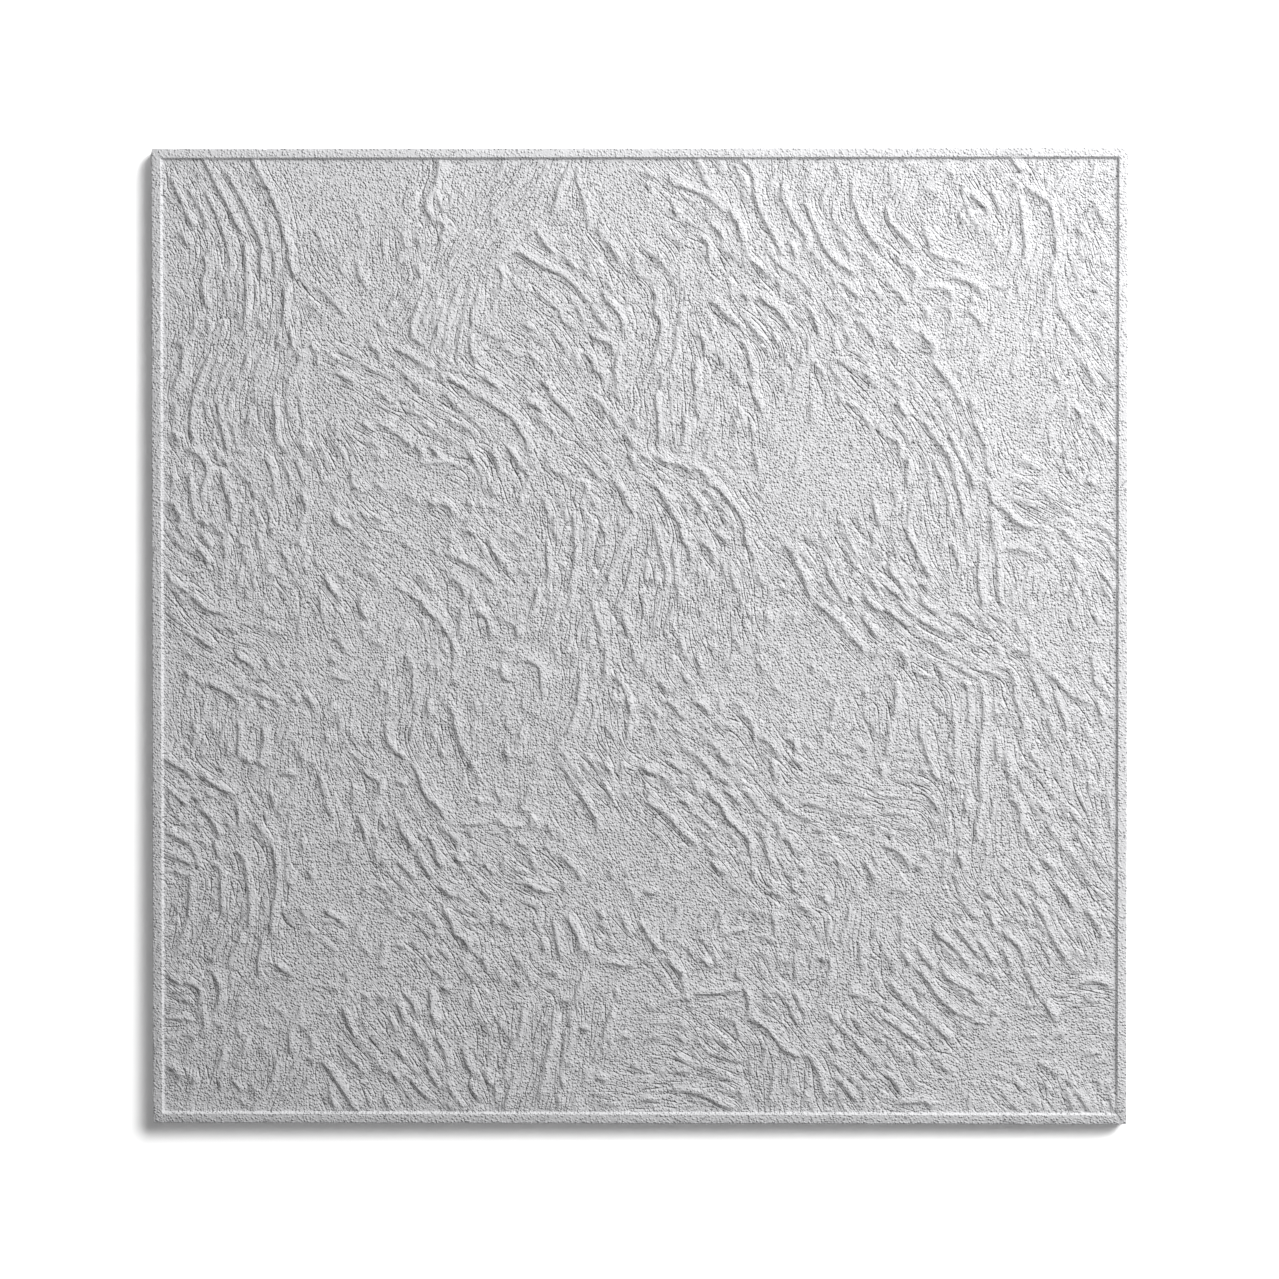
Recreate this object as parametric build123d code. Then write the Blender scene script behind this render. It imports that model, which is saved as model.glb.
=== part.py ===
"""Square ceiling tile moulded in one piece from expanded polystyrene.

The tile lies on its flat back with its face up. A narrow raised rim frames a sunk field, and the
wall between them slopes so that the tile leaves its mould. Millimetres, +Z towards the face, origin
at the centre of the back.
"""

import os

from build123d import *

# Driving dimensions of the slab
TILE_SIDE = 500.0
TILE_THICKNESS = 10.0
CORNER_RADIUS = 0.8
FACE_EDGE_RADIUS = 0.5

# Driving dimensions of the rim and the field inside it
RIM_WIDTH = 4.7
FIELD_DEPTH = 1.6
RIM_WALL_RUN = 1.2

FIELD_MOUTH_SIDE = TILE_SIDE - 2 * RIM_WIDTH
FIELD_FLOOR_SIDE = FIELD_MOUTH_SIDE - 2 * RIM_WALL_RUN
FIELD_LEVEL = TILE_THICKNESS - FIELD_DEPTH


def moulded_slab():
    """The whole block, square-cornered at the back and rounded round the edge of its face."""
    block = extrude(RectangleRounded(TILE_SIDE, TILE_SIDE, CORNER_RADIUS), TILE_THICKNESS)
    face_edges = block.faces().sort_by(Axis.Z)[-1].edges()
    return fillet(face_edges, FACE_EDGE_RADIUS)


def field_recess():
    """The sunk field with its sloping walls, as the shape to take out of the block."""
    floor = Plane.XY.offset(FIELD_LEVEL) * Rectangle(FIELD_FLOOR_SIDE, FIELD_FLOOR_SIDE)
    mouth = Plane.XY.offset(TILE_THICKNESS) * Rectangle(FIELD_MOUTH_SIDE, FIELD_MOUTH_SIDE)
    return loft([floor, mouth])


def ceiling_tile():
    """The finished tile, one solid."""
    return moulded_slab() - field_recess()


os.makedirs("parts", exist_ok=True)
export_step(ceiling_tile(), "parts/ceiling_tile.step")
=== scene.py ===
import math

import bpy
import numpy as np
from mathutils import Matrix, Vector


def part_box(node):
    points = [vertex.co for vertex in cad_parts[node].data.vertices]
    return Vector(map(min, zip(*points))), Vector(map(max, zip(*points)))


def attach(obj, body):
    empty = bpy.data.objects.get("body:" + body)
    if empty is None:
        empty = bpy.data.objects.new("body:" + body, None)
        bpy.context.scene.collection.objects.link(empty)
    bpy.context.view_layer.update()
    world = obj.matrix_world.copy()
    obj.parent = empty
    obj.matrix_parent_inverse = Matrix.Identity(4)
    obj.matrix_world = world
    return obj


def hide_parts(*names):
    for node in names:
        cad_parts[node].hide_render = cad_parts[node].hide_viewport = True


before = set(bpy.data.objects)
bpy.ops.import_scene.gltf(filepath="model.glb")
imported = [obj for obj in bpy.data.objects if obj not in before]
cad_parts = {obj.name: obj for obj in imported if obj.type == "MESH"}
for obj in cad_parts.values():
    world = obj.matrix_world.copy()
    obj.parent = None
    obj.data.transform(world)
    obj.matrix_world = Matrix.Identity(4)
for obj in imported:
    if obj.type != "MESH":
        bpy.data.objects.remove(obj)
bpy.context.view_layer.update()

# Millimetres are used for the tile's own sizes, as on a drawing
MM = 0.001

# Slab, rim and sunk field, as in the CAD model
TILE_LOW, TILE_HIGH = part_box("ceiling_tile")
TILE_SIDE = (TILE_HIGH.x - TILE_LOW.x) / MM
TILE_TOP = TILE_HIGH.z / MM
CORNER_RADIUS = 0.8
FACE_EDGE_RADIUS = 0.5
RIM_WIDTH = 4.7
RIM_WALL_RUN = 1.2
FIELD_DEPTH = 1.6
FIELD_MOUTH_SIDE = TILE_SIDE - 2 * RIM_WIDTH
FIELD_SIDE = FIELD_MOUTH_SIDE - 2 * RIM_WALL_RUN
FIELD_LEVEL = TILE_TOP - FIELD_DEPTH

# Fineness of the carved sheet before it is thinned, and of the height map it is carved from
SHEET_CELLS = 900
MAP_STEP = 0.4
MAP_SIDE = int(round(FIELD_SIDE / MAP_STEP)) + 1
TILE_TRIANGLES = 197000

# Ridges: width and height in millimetres
RIDGE_SIZES = {
    "bold": (5.3, 1.04),
    "medium": (4.3, 0.75),
    "fine": (3.4, 0.57),
}
# The brush was drawn so that the steep flanks of the ridges face away from this direction
GENTLE_SIDE = np.array([0.82, 0.57])
# The tallest ridges stay this far below the rim
RIDGE_CLEARANCE = 0.04
RIDGE_CEILING = FIELD_DEPTH - RIDGE_CLEARANCE

# The main ridges of the brushed plaster, by size. Each ridge is a line of x,y points in millimetres
# from the tile's centre, along the foot of its steep flank; a semicolon ends it.
BOLD_RIDGES = """
-199,244 -195,236 -191,229 -187,221 -184,212 -183,204 -180,200 -181,193 -177,184;
-224,244 -220,237 -217,230 -213,224 -210,218 -207,211 -204,206;
-213,238 -207,229 -204,223 -201,217 -198,210 -195,204 -194,199 -195,193 -194,184;
-203,202 -203,195 -202,187 -202,180 -202,172 -203,164 -204,157; -241,235 -237,226 -234,221;
-234,219 -231,213 -229,210; -224,196 -222,188 -225,183 -225,178 -223,172 -222,169;
-183,180 -182,172 -183,164 -183,160; -181,157 -178,151 -179,147; -157,135 -151,132 -145,130;
-237,151 -234,149 -235,143 -235,138 -238,132 -240,126; -221,146 -224,138 -227,131 -229,125;
-236,207 -233,202 -231,200; -229,125 -230,117 -231,110 -231,106 -229,100; -240,106 -239,102 -236,100;
-217,121 -216,115 -216,109 -214,103 -212,96; -211,122 -212,117 -213,112; -218,97 -218,92 -216,90;
-188,124 -188,116 -187,110 -188,104 -186,99; -232,96 -227,93 -223,89 -222,84 -224,79 -226,74 -225,70;
-232,83 -231,76 -230,70 -230,66 -228,60; -242,69 -239,66 -237,61 -235,57; -215,90 -211,87;
-216,84 -214,81 -213,75 -211,70 -210,64 -210,58; -192,91 -189,85 -189,79 -187,71; -191,58 -189,52;
-177,91 -175,86 -173,81; -174,75 -173,70 -171,65; -176,50 -175,46; -196,54 -197,48 -195,44;
-213,58 -212,53; -214,50 -214,44 -212,41; -225,60 -223,56; -226,54 -224,49 -220,45;
-228,45 -224,42 -223,38 -220,37; -243,33 -241,28 -236,24 -231,22;
-231,21 -227,17 -222,13 -216,11 -211,11; -205,35 -207,31 -207,25; -191,40 -194,32; -191,35 -188,30;
-184,44 -182,39 -179,37; -174,37 -171,33; -167,40 -166,36; -162,31 -160,26 -157,22 -154,18;
-165,22 -164,15 -163,10; -143,22 -145,17 -143,12 -140,9; -213,5 -208,1; -158,64 -157,59 -152,56 -148,54;
-143,109 -138,105; -228,0 -224,-3 -219,-7; -234,-18 -231,-22; -228,-23 -224,-25;
-222,-24 -217,-27 -212,-29 -208,-32; -207,-8 -206,-12 -200,-14 -198,-18; -192,-10 -191,-17;
-185,-13 -182,-16; -196,-22 -190,-24; -198,-28 -195,-31 -190,-32; -173,-31 -169,-33 -168,-38;
-207,-33 -207,-36; -207,-43 -206,-50 -207,-57 -206,-62; -206,-62 -202,-63 -201,-66;
-194,-46 -193,-52 -194,-58 -196,-65; -196,-65 -191,-68; -230,-44 -229,-49 -227,-52;
-245,-63 -239,-67 -234,-69 -230,-73; -226,-71 -221,-75 -215,-79 -208,-83;
-207,-84 -208,-88 -206,-92 -207,-98;
-200,-95 -196,-99 -192,-104 -189,-108 -188,-113 -187,-119 -187,-125; -190,-79 -189,-84 -188,-88;
-183,-71 -176,-72; -165,-70 -164,-77 -162,-82; -161,-49 -161,-54; -143,-68 -140,-72 -134,-75;
-145,-92 -143,-98 -141,-104; -131,-43 -131,-50 -129,-56 -125,-60; -243,-79 -238,-83 -233,-87;
-230,-82 -226,-86; -226,-89 -222,-92 -219,-97 -216,-103; -243,-101 -238,-104 -231,-107;
-219,-105 -218,-111 -216,-115; -243,-113 -237,-115 -230,-118; -208,-111 -204,-113 -203,-119 -202,-125;
-174,-105 -173,-109; -231,-125 -232,-131 -232,-138 -232,-144 -234,-148;
-216,-125 -215,-130 -216,-136 -215,-142; -221,-165 -219,-168;
-202,-125 -201,-131 -201,-138 -201,-145 -202,-150; -204,-151 -207,-157 -210,-164 -212,-169;
-187,-125 -187,-132 -189,-139 -190,-146 -190,-153; -182,-125 -180,-129;
-194,-156 -196,-163 -197,-170 -196,-174; -188,-169 -184,-172 -179,-174;
-221,-172 -218,-176 -216,-182 -217,-187 -219,-192; -243,-173 -240,-177 -236,-180;
-235,-178 -229,-180 -226,-183 -227,-189; -227,-190 -225,-195 -224,-200 -226,-204; -236,-187 -231,-189;
-243,-221 -239,-224 -237,-228; -230,-225 -230,-231; -233,-224 -232,-228; -237,-238 -235,-237;
-215,-211 -215,-216 -218,-222; -217,-228 -216,-233; -187,-216 -187,-220 -189,-226 -190,-231;
-180,-201 -181,-207 -180,-214; -175,-200 -172,-203; -171,-217 -168,-219;
-164,-219 -160,-223 -156,-229 -153,-234 -149,-240 -146,-244; -160,-231 -160,-237 -157,-243;
-153,-191 -151,-196 -149,-202 -146,-207; -143,-130 -141,-131; -162,-141 -159,-144 -155,-146 -151,-149;
-134,-170 -130,-171; -134,-184 -132,-188; -129,-222 -126,-227 -124,-230; -132,-235 -131,-240 -129,-243;
-130,-140 -127,-142; -103,244 -103,239 -105,233 -106,230 -110,225 -110,221 -109,217 -107,213;
-105,213 -100,211 -101,207 -102,204 -103,200; -122,209 -122,204 -120,199;
-36,242 -40,235 -42,230 -43,224 -45,218; -19,203 -15,200 -13,196 -11,192;
-54,209 -52,205 -49,201 -44,196; -64,197 -58,194 -52,190 -45,187 -38,184 -33,179 -29,174 -26,170;
-25,170 -22,163 -16,157; -39,195 -33,187; -20,177 -16,170 -11,166 -10,162 -8,155;
-27,156 -21,151 -14,150 -14,146; -10,151 -12,143 -14,136 -12,130 -12,124;
-29,145 -24,141 -24,137 -21,135 -18,130; -60,160 -54,156; -73,189 -70,185 -72,178;
-83,176 -86,168 -87,164 -86,159; -93,180 -96,173 -98,167 -100,159 -100,152 -101,148;
-101,170 -103,162 -104,157 -105,152; -107,173 -110,167 -112,160; -113,172 -116,166 -118,159 -117,153;
-116,152 -110,149; -87,155 -87,150 -87,145 -84,141; -125,147 -118,143 -113,140 -106,136;
-103,136 -101,131; -98,132 -88,126 -84,122; -122,135 -116,130 -112,125; -80,132 -71,126;
-51,131 -45,125; -115,191 -113,186 -112,183;
-85,125 -79,121 -74,117 -67,113 -64,110 -62,105 -59,102 -58,97 -57,94; -125,104 -121,100 -117,98;
-115,98 -113,95 -112,91; -108,97 -105,94 -103,91; -90,97 -87,93 -84,88; -77,96 -75,92 -73,88 -72,83;
-68,97 -65,92 -62,87 -59,84; -58,120 -53,118 -50,115; -47,125 -42,119 -37,115 -33,110; -20,120 -17,114;
-15,114 -13,110 -11,106; -13,125 -10,121; -4,113 -2,106; -8,104 -5,101 -3,96; -6,94 -4,88 -1,84;
-14,80 -11,76 -8,73 -7,68 -3,63; -16,34 -17,26; -20,60 -20,55 -18,51;
-35,64 -34,57 -34,49 -33,42 -35,33 -37,26; -50,71 -48,66 -47,61; -48,48 -48,42 -47,36 -48,29;
-52,26 -54,20 -55,15 -57,11; -77,78 -75,72 -71,73; -108,69 -104,66; -103,68 -98,67 -96,62;
-89,54 -84,51; -78,50 -76,45 -73,40 -71,37; -94,40 -89,37 -82,34; -97,30 -92,27 -90,20;
-87,25 -86,20 -87,17; -118,22 -115,18; -113,20 -111,15 -109,12 -104,9 -101,4 -98,0; -92,14 -92,8 -93,0;
-84,12 -79,10 -77,4 -77,0; -62,12 -64,6 -63,0; -24,19 -25,15 -23,9 -20,5 -20,0; -9,13 -9,8 -7,5 -6,0;
-125,0 -121,7 -119,9; -98,0 -96,-5 -95,-11 -97,-16; -108,-29 -109,-34 -110,-40; -109,-13 -108,-17;
-99,-36 -95,-41 -96,-44 -94,-49 -93,-54 -91,-58 -90,-62; -87,-63 -86,-69; -84,-71 -83,-74;
-102,-57 -102,-62; -125,-60 -121,-63; -117,-65 -115,-70 -113,-74 -112,-79 -109,-84 -103,-88 -101,-93;
-103,-97 -100,-101 -96,-103 -93,-107; -124,-75 -120,-77; -125,-92 -123,-99 -120,-104 -117,-109;
-115,-111 -113,-115 -111,-119 -107,-124; -109,-103 -106,-107 -105,-112 -104,-117 -101,-120;
-125,-116 -120,-120 -116,-125; -95,-112 -93,-116 -90,-118; -58,-13 -52,-15 -51,-20 -51,-26 -50,-30;
-55,-40 -53,-41; -71,-14 -72,-19 -70,-22 -66,-23; -67,-41 -70,-45 -67,-47; -69,-55 -70,-60 -67,-63;
-61,-88 -58,-91; -56,-91 -57,-97; -83,-82 -84,-85 -81,-87; -64,-105 -61,-108 -57,-109;
-57,-113 -56,-117 -53,-120; -70,-112 -70,-115; -18,-4 -18,-10 -18,-17 -19,-22;
-31,-18 -31,-25 -32,-31 -33,-37 -35,-43 -38,-50; -7,-30 -6,-36 -5,-40; -5,-42 -7,-48 -7,-53;
-20,-64 -17,-68 -15,-70; -10,-63 -9,-69; -32,-79 -29,-84 -26,-90 -22,-94 -22,-100; -17,-79 -14,-84;
-49,-108 -46,-110; -41,-113 -37,-116 -33,-121 -30,-125; -103,-128 -99,-132 -96,-135;
-101,-138 -101,-142 -98,-145 -96,-150 -95,-154 -90,-156 -88,-161; -82,-164 -80,-168 -78,-172;
-72,-145 -69,-149 -66,-151; -76,-141 -75,-147; -60,-127 -55,-129 -53,-131 -46,-132; -40,-127 -38,-131;
-125,-126 -120,-131; -125,-159 -121,-160; -109,-162 -106,-166; -102,-180 -98,-183; -87,-184 -86,-191;
-121,-184 -117,-188 -115,-194; -125,-188 -123,-194 -121,-200; -108,-180 -108,-187 -107,-194 -106,-200;
-117,-200 -115,-205 -112,-208 -110,-212 -108,-218; -106,-205 -102,-211 -100,-216 -99,-222;
-110,-220 -108,-226 -104,-231; -99,-228 -98,-234 -94,-239 -91,-243; -91,-210 -91,-214 -89,-220 -86,-226;
-80,-223 -79,-229 -75,-231; -87,-228 -87,-234 -82,-239; -118,-228 -113,-234 -108,-239;
-100,-240 -96,-244; -60,-190 -61,-197 -62,-203 -63,-208; -64,-223 -66,-229 -68,-236 -70,-243;
-68,-213 -69,-219; -44,-192 -45,-198 -45,-204 -47,-211 -49,-217; -49,-217 -49,-223 -50,-229 -53,-236;
-29,-173 -32,-180 -34,-187; -36,-192 -36,-198 -36,-204 -37,-212; -41,-224 -40,-231; -42,-235 -42,-241;
-45,-146 -44,-152 -43,-158 -41,-165; -38,-144 -35,-149 -32,-155 -31,-162; -51,-156 -49,-162;
-48,-173 -42,-174; -32,-201 -26,-203; -14,-190 -16,-195 -18,-201 -20,-207; -19,-208 -20,-214;
-22,-227 -17,-229; -17,-206 -15,-210; -9,-206 -5,-207; -22,-141 -19,-145; -4,-221 0,-223;
26,245 29,243 31,239 32,235 35,230 37,228; 15,236 16,231 20,230 27,228 33,226 38,222 43,217;
45,219 48,214 51,209 51,204 54,201; 53,200 55,194 58,191 62,188 67,183;
50,245 54,241 57,238 58,232 58,225 61,219 63,213 67,207 69,202 73,195;
73,234 72,227 73,222 76,219 78,213 82,208 85,204 83,198;
84,222 87,215 90,207 94,199 98,193 104,189 110,184; 109,234 108,226 110,219 113,211 117,205 123,198;
102,203 105,199 108,194; 76,201 78,200 79,194; 91,193 95,186; 103,182 107,177 112,173; 70,183 72,177;
53,196 53,189; 36,211 40,208 42,204 42,199; 31,204 34,202 35,197 34,192; 17,221 19,215;
6,178 9,173 7,168 7,165 10,163 11,158 10,152 8,146 6,138; 21,169 20,164 20,160 24,160;
29,155 33,151 33,144; 29,141 28,135 27,131 29,127; 36,172 41,168 44,164 48,161 52,157; 52,176 56,172;
61,174 65,170 70,167 74,162 78,156; 85,169 88,165 90,160 92,154; 68,156 70,150; 74,145 75,140;
55,147 56,139 58,133; 56,131 58,125; 102,165 105,160; 102,141 106,138 111,135; 11,136 10,128;
8,125 8,119 9,113 9,108 10,100; 23,115 22,109 23,104 21,99 20,94; 50,118 50,114 53,110; 48,112 49,106;
56,109 58,104; 57,125 60,121 62,115; 0,93 6,90; 8,93 12,89 20,88 27,84;
24,89 29,86 34,82 35,77 40,76 43,72 47,67 51,63 53,58 54,53 53,48 56,45; 60,33 61,28 64,25;
6,78 11,74 12,69 15,66 17,61 21,57 21,50 23,47 25,45 25,40 27,38; 25,74 28,70 31,67 31,63;
39,54 41,51 46,48; 31,48 35,46 37,42 38,38; 46,35 47,28 50,22; 17,47 17,40 18,34 18,27 20,23 19,18;
7,58 9,50 10,43 12,38 13,31 13,26; 8,36 8,27; 1,21 2,15 2,10; 65,13 65,7; 30,14 32,11;
73,47 78,44 79,38 82,34 84,29 85,25 88,19; 92,55 94,49; 95,38 96,33 98,28 101,25 103,19;
91,16 95,13 99,9 104,5 106,0; 105,54 107,48 110,42 112,38; 119,71 120,64 123,56; 118,55 120,47;
102,60 104,57; 116,32 119,27 123,23; 114,24 116,18 120,15 124,12; 107,21 110,16;
113,12 115,8 119,2 121,0; 101,125 103,119; 105,120 108,118 113,116; 113,114 116,110 118,106;
20,-1 21,-6 22,-9; 28,-10 30,-14 31,-19; 22,-19 23,-23 27,-24; 9,-23 12,-26 14,-29;
13,-34 17,-35 19,-39 24,-43; 27,-34 33,-36 35,-40; 61,-13 63,-18; 68,-26 72,-29;
51,-40 55,-42 58,-46 58,-51 59,-54; 62,-52 67,-55 69,-59 72,-62; 75,-47 77,-49; 78,-63 83,-67;
96,-46 98,-48; 108,-1 112,-4 115,-9; 111,-55 116,-59; 3,-33 4,-38; 7,-36 9,-42;
29,-61 33,-66 36,-69 38,-73; 36,-55 40,-58 43,-61; 39,-60 43,-63 47,-67; 0,-67 5,-70 10,-72;
34,-79 37,-83 41,-86 43,-90 45,-95 50,-99 53,-102 56,-105 56,-112; 40,-73 44,-75 48,-79;
43,-79 47,-82 51,-86; 67,-63 68,-68 69,-73; 67,-81 70,-83; 71,-83 74,-88; 71,-97 71,-103;
60,-100 63,-104 65,-108 65,-113 67,-117; 74,-103 77,-106 78,-110 83,-111;
3,-85 7,-88 13,-91 16,-94 19,-98; 21,-84 25,-87; 26,-90 27,-92; 36,-115 39,-119 44,-123;
57,-118 58,-124; 75,-122 79,-125; 90,-99 95,-101; 100,-113 103,-118; 103,-121 104,-124;
114,-116 118,-120 120,-125; 123,-66 124,-72; 3,-131 5,-133 9,-132; 0,-147 3,-152 6,-157 10,-162;
13,-165 16,-169 20,-172 22,-178 22,-183; 22,-185 27,-188; 28,-184 37,-184 44,-183 51,-182;
50,-170 49,-175 53,-176; 53,-180 55,-185 56,-191 55,-195;
56,-196 60,-199 65,-201 68,-205 71,-208 73,-212 78,-215 82,-217;
84,-215 88,-217 90,-221 92,-226 93,-231 96,-238; 48,-197 50,-202 51,-207; 56,-208 58,-210;
69,-220 68,-227 67,-234 66,-240; 85,-233 84,-239; 75,-187 77,-191 79,-196 81,-199;
79,-183 82,-190 85,-195; 68,-142 69,-149 69,-154; 66,-126 69,-130; 66,-131 70,-133 74,-134;
78,-126 78,-131 82,-131; 80,-138 84,-140 88,-142; 97,-144 96,-150 96,-154; 93,-133 97,-138;
80,-163 79,-169 80,-175; 90,-165 96,-167; 98,-165 97,-172 95,-178; 108,-138 106,-146 103,-153 103,-158;
113,-158 113,-168; 108,-184 113,-185; 97,-193 99,-199; 97,-208 102,-213; 107,-226 110,-229;
101,-227 106,-233 111,-239; 13,-152 13,-156; 38,-162 39,-169; 31,-165 36,-170; 5,-191 8,-191;
5,-207 11,-207; 18,-216 23,-219 27,-221; 18,-224 26,-224; 16,-233 22,-234 29,-235 33,-236;
34,-237 38,-239 44,-242 49,-243; 1,-239 9,-239; 0,-223 3,-224; 51,-231 52,-238;
126,221 126,213 130,209 134,205 140,199; 164,230 166,225; 169,228 170,225 173,222 176,220 178,216;
163,218 163,214 166,211; 169,214 172,211 173,207; 179,228 182,223 184,217; 190,244 193,240 196,237;
191,233 194,228; 198,229 202,226 206,224 210,221 211,214 212,206 213,198 212,193 210,188 211,183;
194,224 195,215 196,208 197,200 196,194 194,190; 219,161 223,155 227,150;
145,209 146,205 148,201 148,196; 131,195 133,190; 136,191 140,187 141,182;
126,182 130,177 134,173 137,170; 160,183 165,182 170,180 174,178 175,174; 156,178 159,175 160,171;
145,168 147,163; 168,166 172,163 175,159; 128,153 129,149 132,146; 144,156 146,152 150,149 150,144;
149,141 152,137 155,134 158,130 161,125; 130,131 133,126; 200,155 200,151; 212,134 215,128;
228,141 229,135 233,129; 232,222 234,217 237,212; 131,120 134,115 137,112;
126,102 131,100 133,96 133,91; 136,91 138,88 136,83 137,77; 136,57 137,51 140,46 143,40 146,34 149,29;
127,39 128,34 131,29 134,26 136,21 139,18; 143,27 148,24; 143,20 146,15 149,13 154,11;
145,110 149,104 153,99 157,94 160,87 161,80 163,73 165,66 166,58; 161,125 164,119;
158,104 161,97 164,91 167,86 170,80 171,76; 169,122 171,115;
170,111 172,106 175,101 177,96 177,90 179,83; 176,80 179,75 180,70 182,67;
184,66 189,63 192,58 196,56 202,55; 179,64 180,58 181,51 182,45 183,38 183,30 183,23 184,18 187,15;
173,48 174,41 173,34 173,28 174,21 176,15; 159,48 162,43 163,35; 161,12 166,10 171,7;
125,27 130,22 135,18; 125,15 130,10 135,7 138,4; 133,17 138,12 144,8 149,5 155,2 160,0;
221,42 222,37 225,34; 228,79 234,77; 231,110 233,106 238,100; 222,118 226,112; 237,32 239,28 242,24;
232,12 235,6; 174,-22 175,-28 176,-35 176,-42 175,-49 174,-56 174,-63 174,-70 174,-77 175,-84;
175,-85 173,-92 172,-98 173,-105; 165,-23 168,-26 168,-33 168,-40 168,-44;
160,-34 160,-41 161,-47 161,-55 161,-62; 152,-14 154,-18 156,-22; 132,-7 135,-10 137,-15;
131,-22 131,-28 131,-35 130,-40; 128,-42 128,-48 127,-54 126,-61;
143,-43 143,-50 146,-56 147,-62 149,-68 151,-72 154,-74; 144,-68 147,-71; 181,-5 185,-10;
199,-1 200,-11; 200,-20 203,-25 206,-31 208,-36; 190,-19 192,-26 192,-32 194,-38 196,-44 197,-49;
210,-20 214,-24 218,-28 222,-31; 212,-29 214,-35 217,-42 219,-48; 209,-41 210,-48 212,-53;
231,-9 232,-14 232,-20 233,-25 236,-27; 233,-32 235,-36 236,-43; 182,-50 182,-57 183,-64;
186,-58 188,-63 188,-68 189,-73; 190,-83 194,-87 195,-93 195,-99; 197,-97 199,-101 201,-107;
199,-59 202,-63 205,-68; 203,-85 206,-88 208,-91; 221,-88 222,-93 226,-96; 167,-80 166,-85 167,-91;
163,-109 163,-114 166,-118; 147,-81 151,-86 154,-90; 127,-100 129,-104;
125,-108 132,-110 136,-114 138,-118; 145,-112 148,-114; 160,-122 163,-125; 206,-114 210,-118 213,-121;
227,-119 229,-124; 151,-147 151,-151 154,-155 158,-157 162,-161 165,-165 169,-170;
162,-150 165,-154 168,-157 171,-161 174,-165; 173,-155 175,-158 178,-163 181,-168; 176,-130 181,-135;
179,-141 180,-145 182,-149; 192,-131 195,-134 198,-139; 200,-125 204,-133;
201,-136 205,-141 208,-147 209,-151 212,-156 215,-161 219,-167; 213,-127 217,-132 221,-137 223,-141;
229,-140 231,-144 235,-149 237,-155; 186,-151 190,-156 194,-159 196,-163 197,-168;
197,-171 200,-176 202,-181 204,-185; 186,-159 187,-164 190,-169; 207,-186 209,-191 213,-198;
155,-170 156,-174 160,-177 166,-180 170,-182 173,-185; 170,-186 175,-189; 180,-192 184,-195;
142,-158 144,-163 147,-167 151,-171; 134,-161 136,-165 139,-169;
141,-170 145,-174 149,-179 152,-184 156,-188 160,-192 163,-194; 171,-198 177,-199;
128,-177 131,-182 135,-186; 150,-199 155,-204 160,-208; 125,-189 130,-194;
125,-196 131,-200 136,-204 142,-208; 140,-213 142,-219; 133,-151 134,-156; 126,-225 131,-229 134,-235;
132,-240 140,-240 148,-239 150,-242; 154,-220 159,-224; 169,-234 168,-241; 190,-240 194,-243;
201,-238 204,-242; 208,-229 209,-234; 219,-227 222,-231; 219,-233 220,-238 222,-243;
223,-232 226,-237 230,-243; 241,-234 242,-243; 225,-179 230,-178 235,-177 241,-180;
"""

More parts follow.
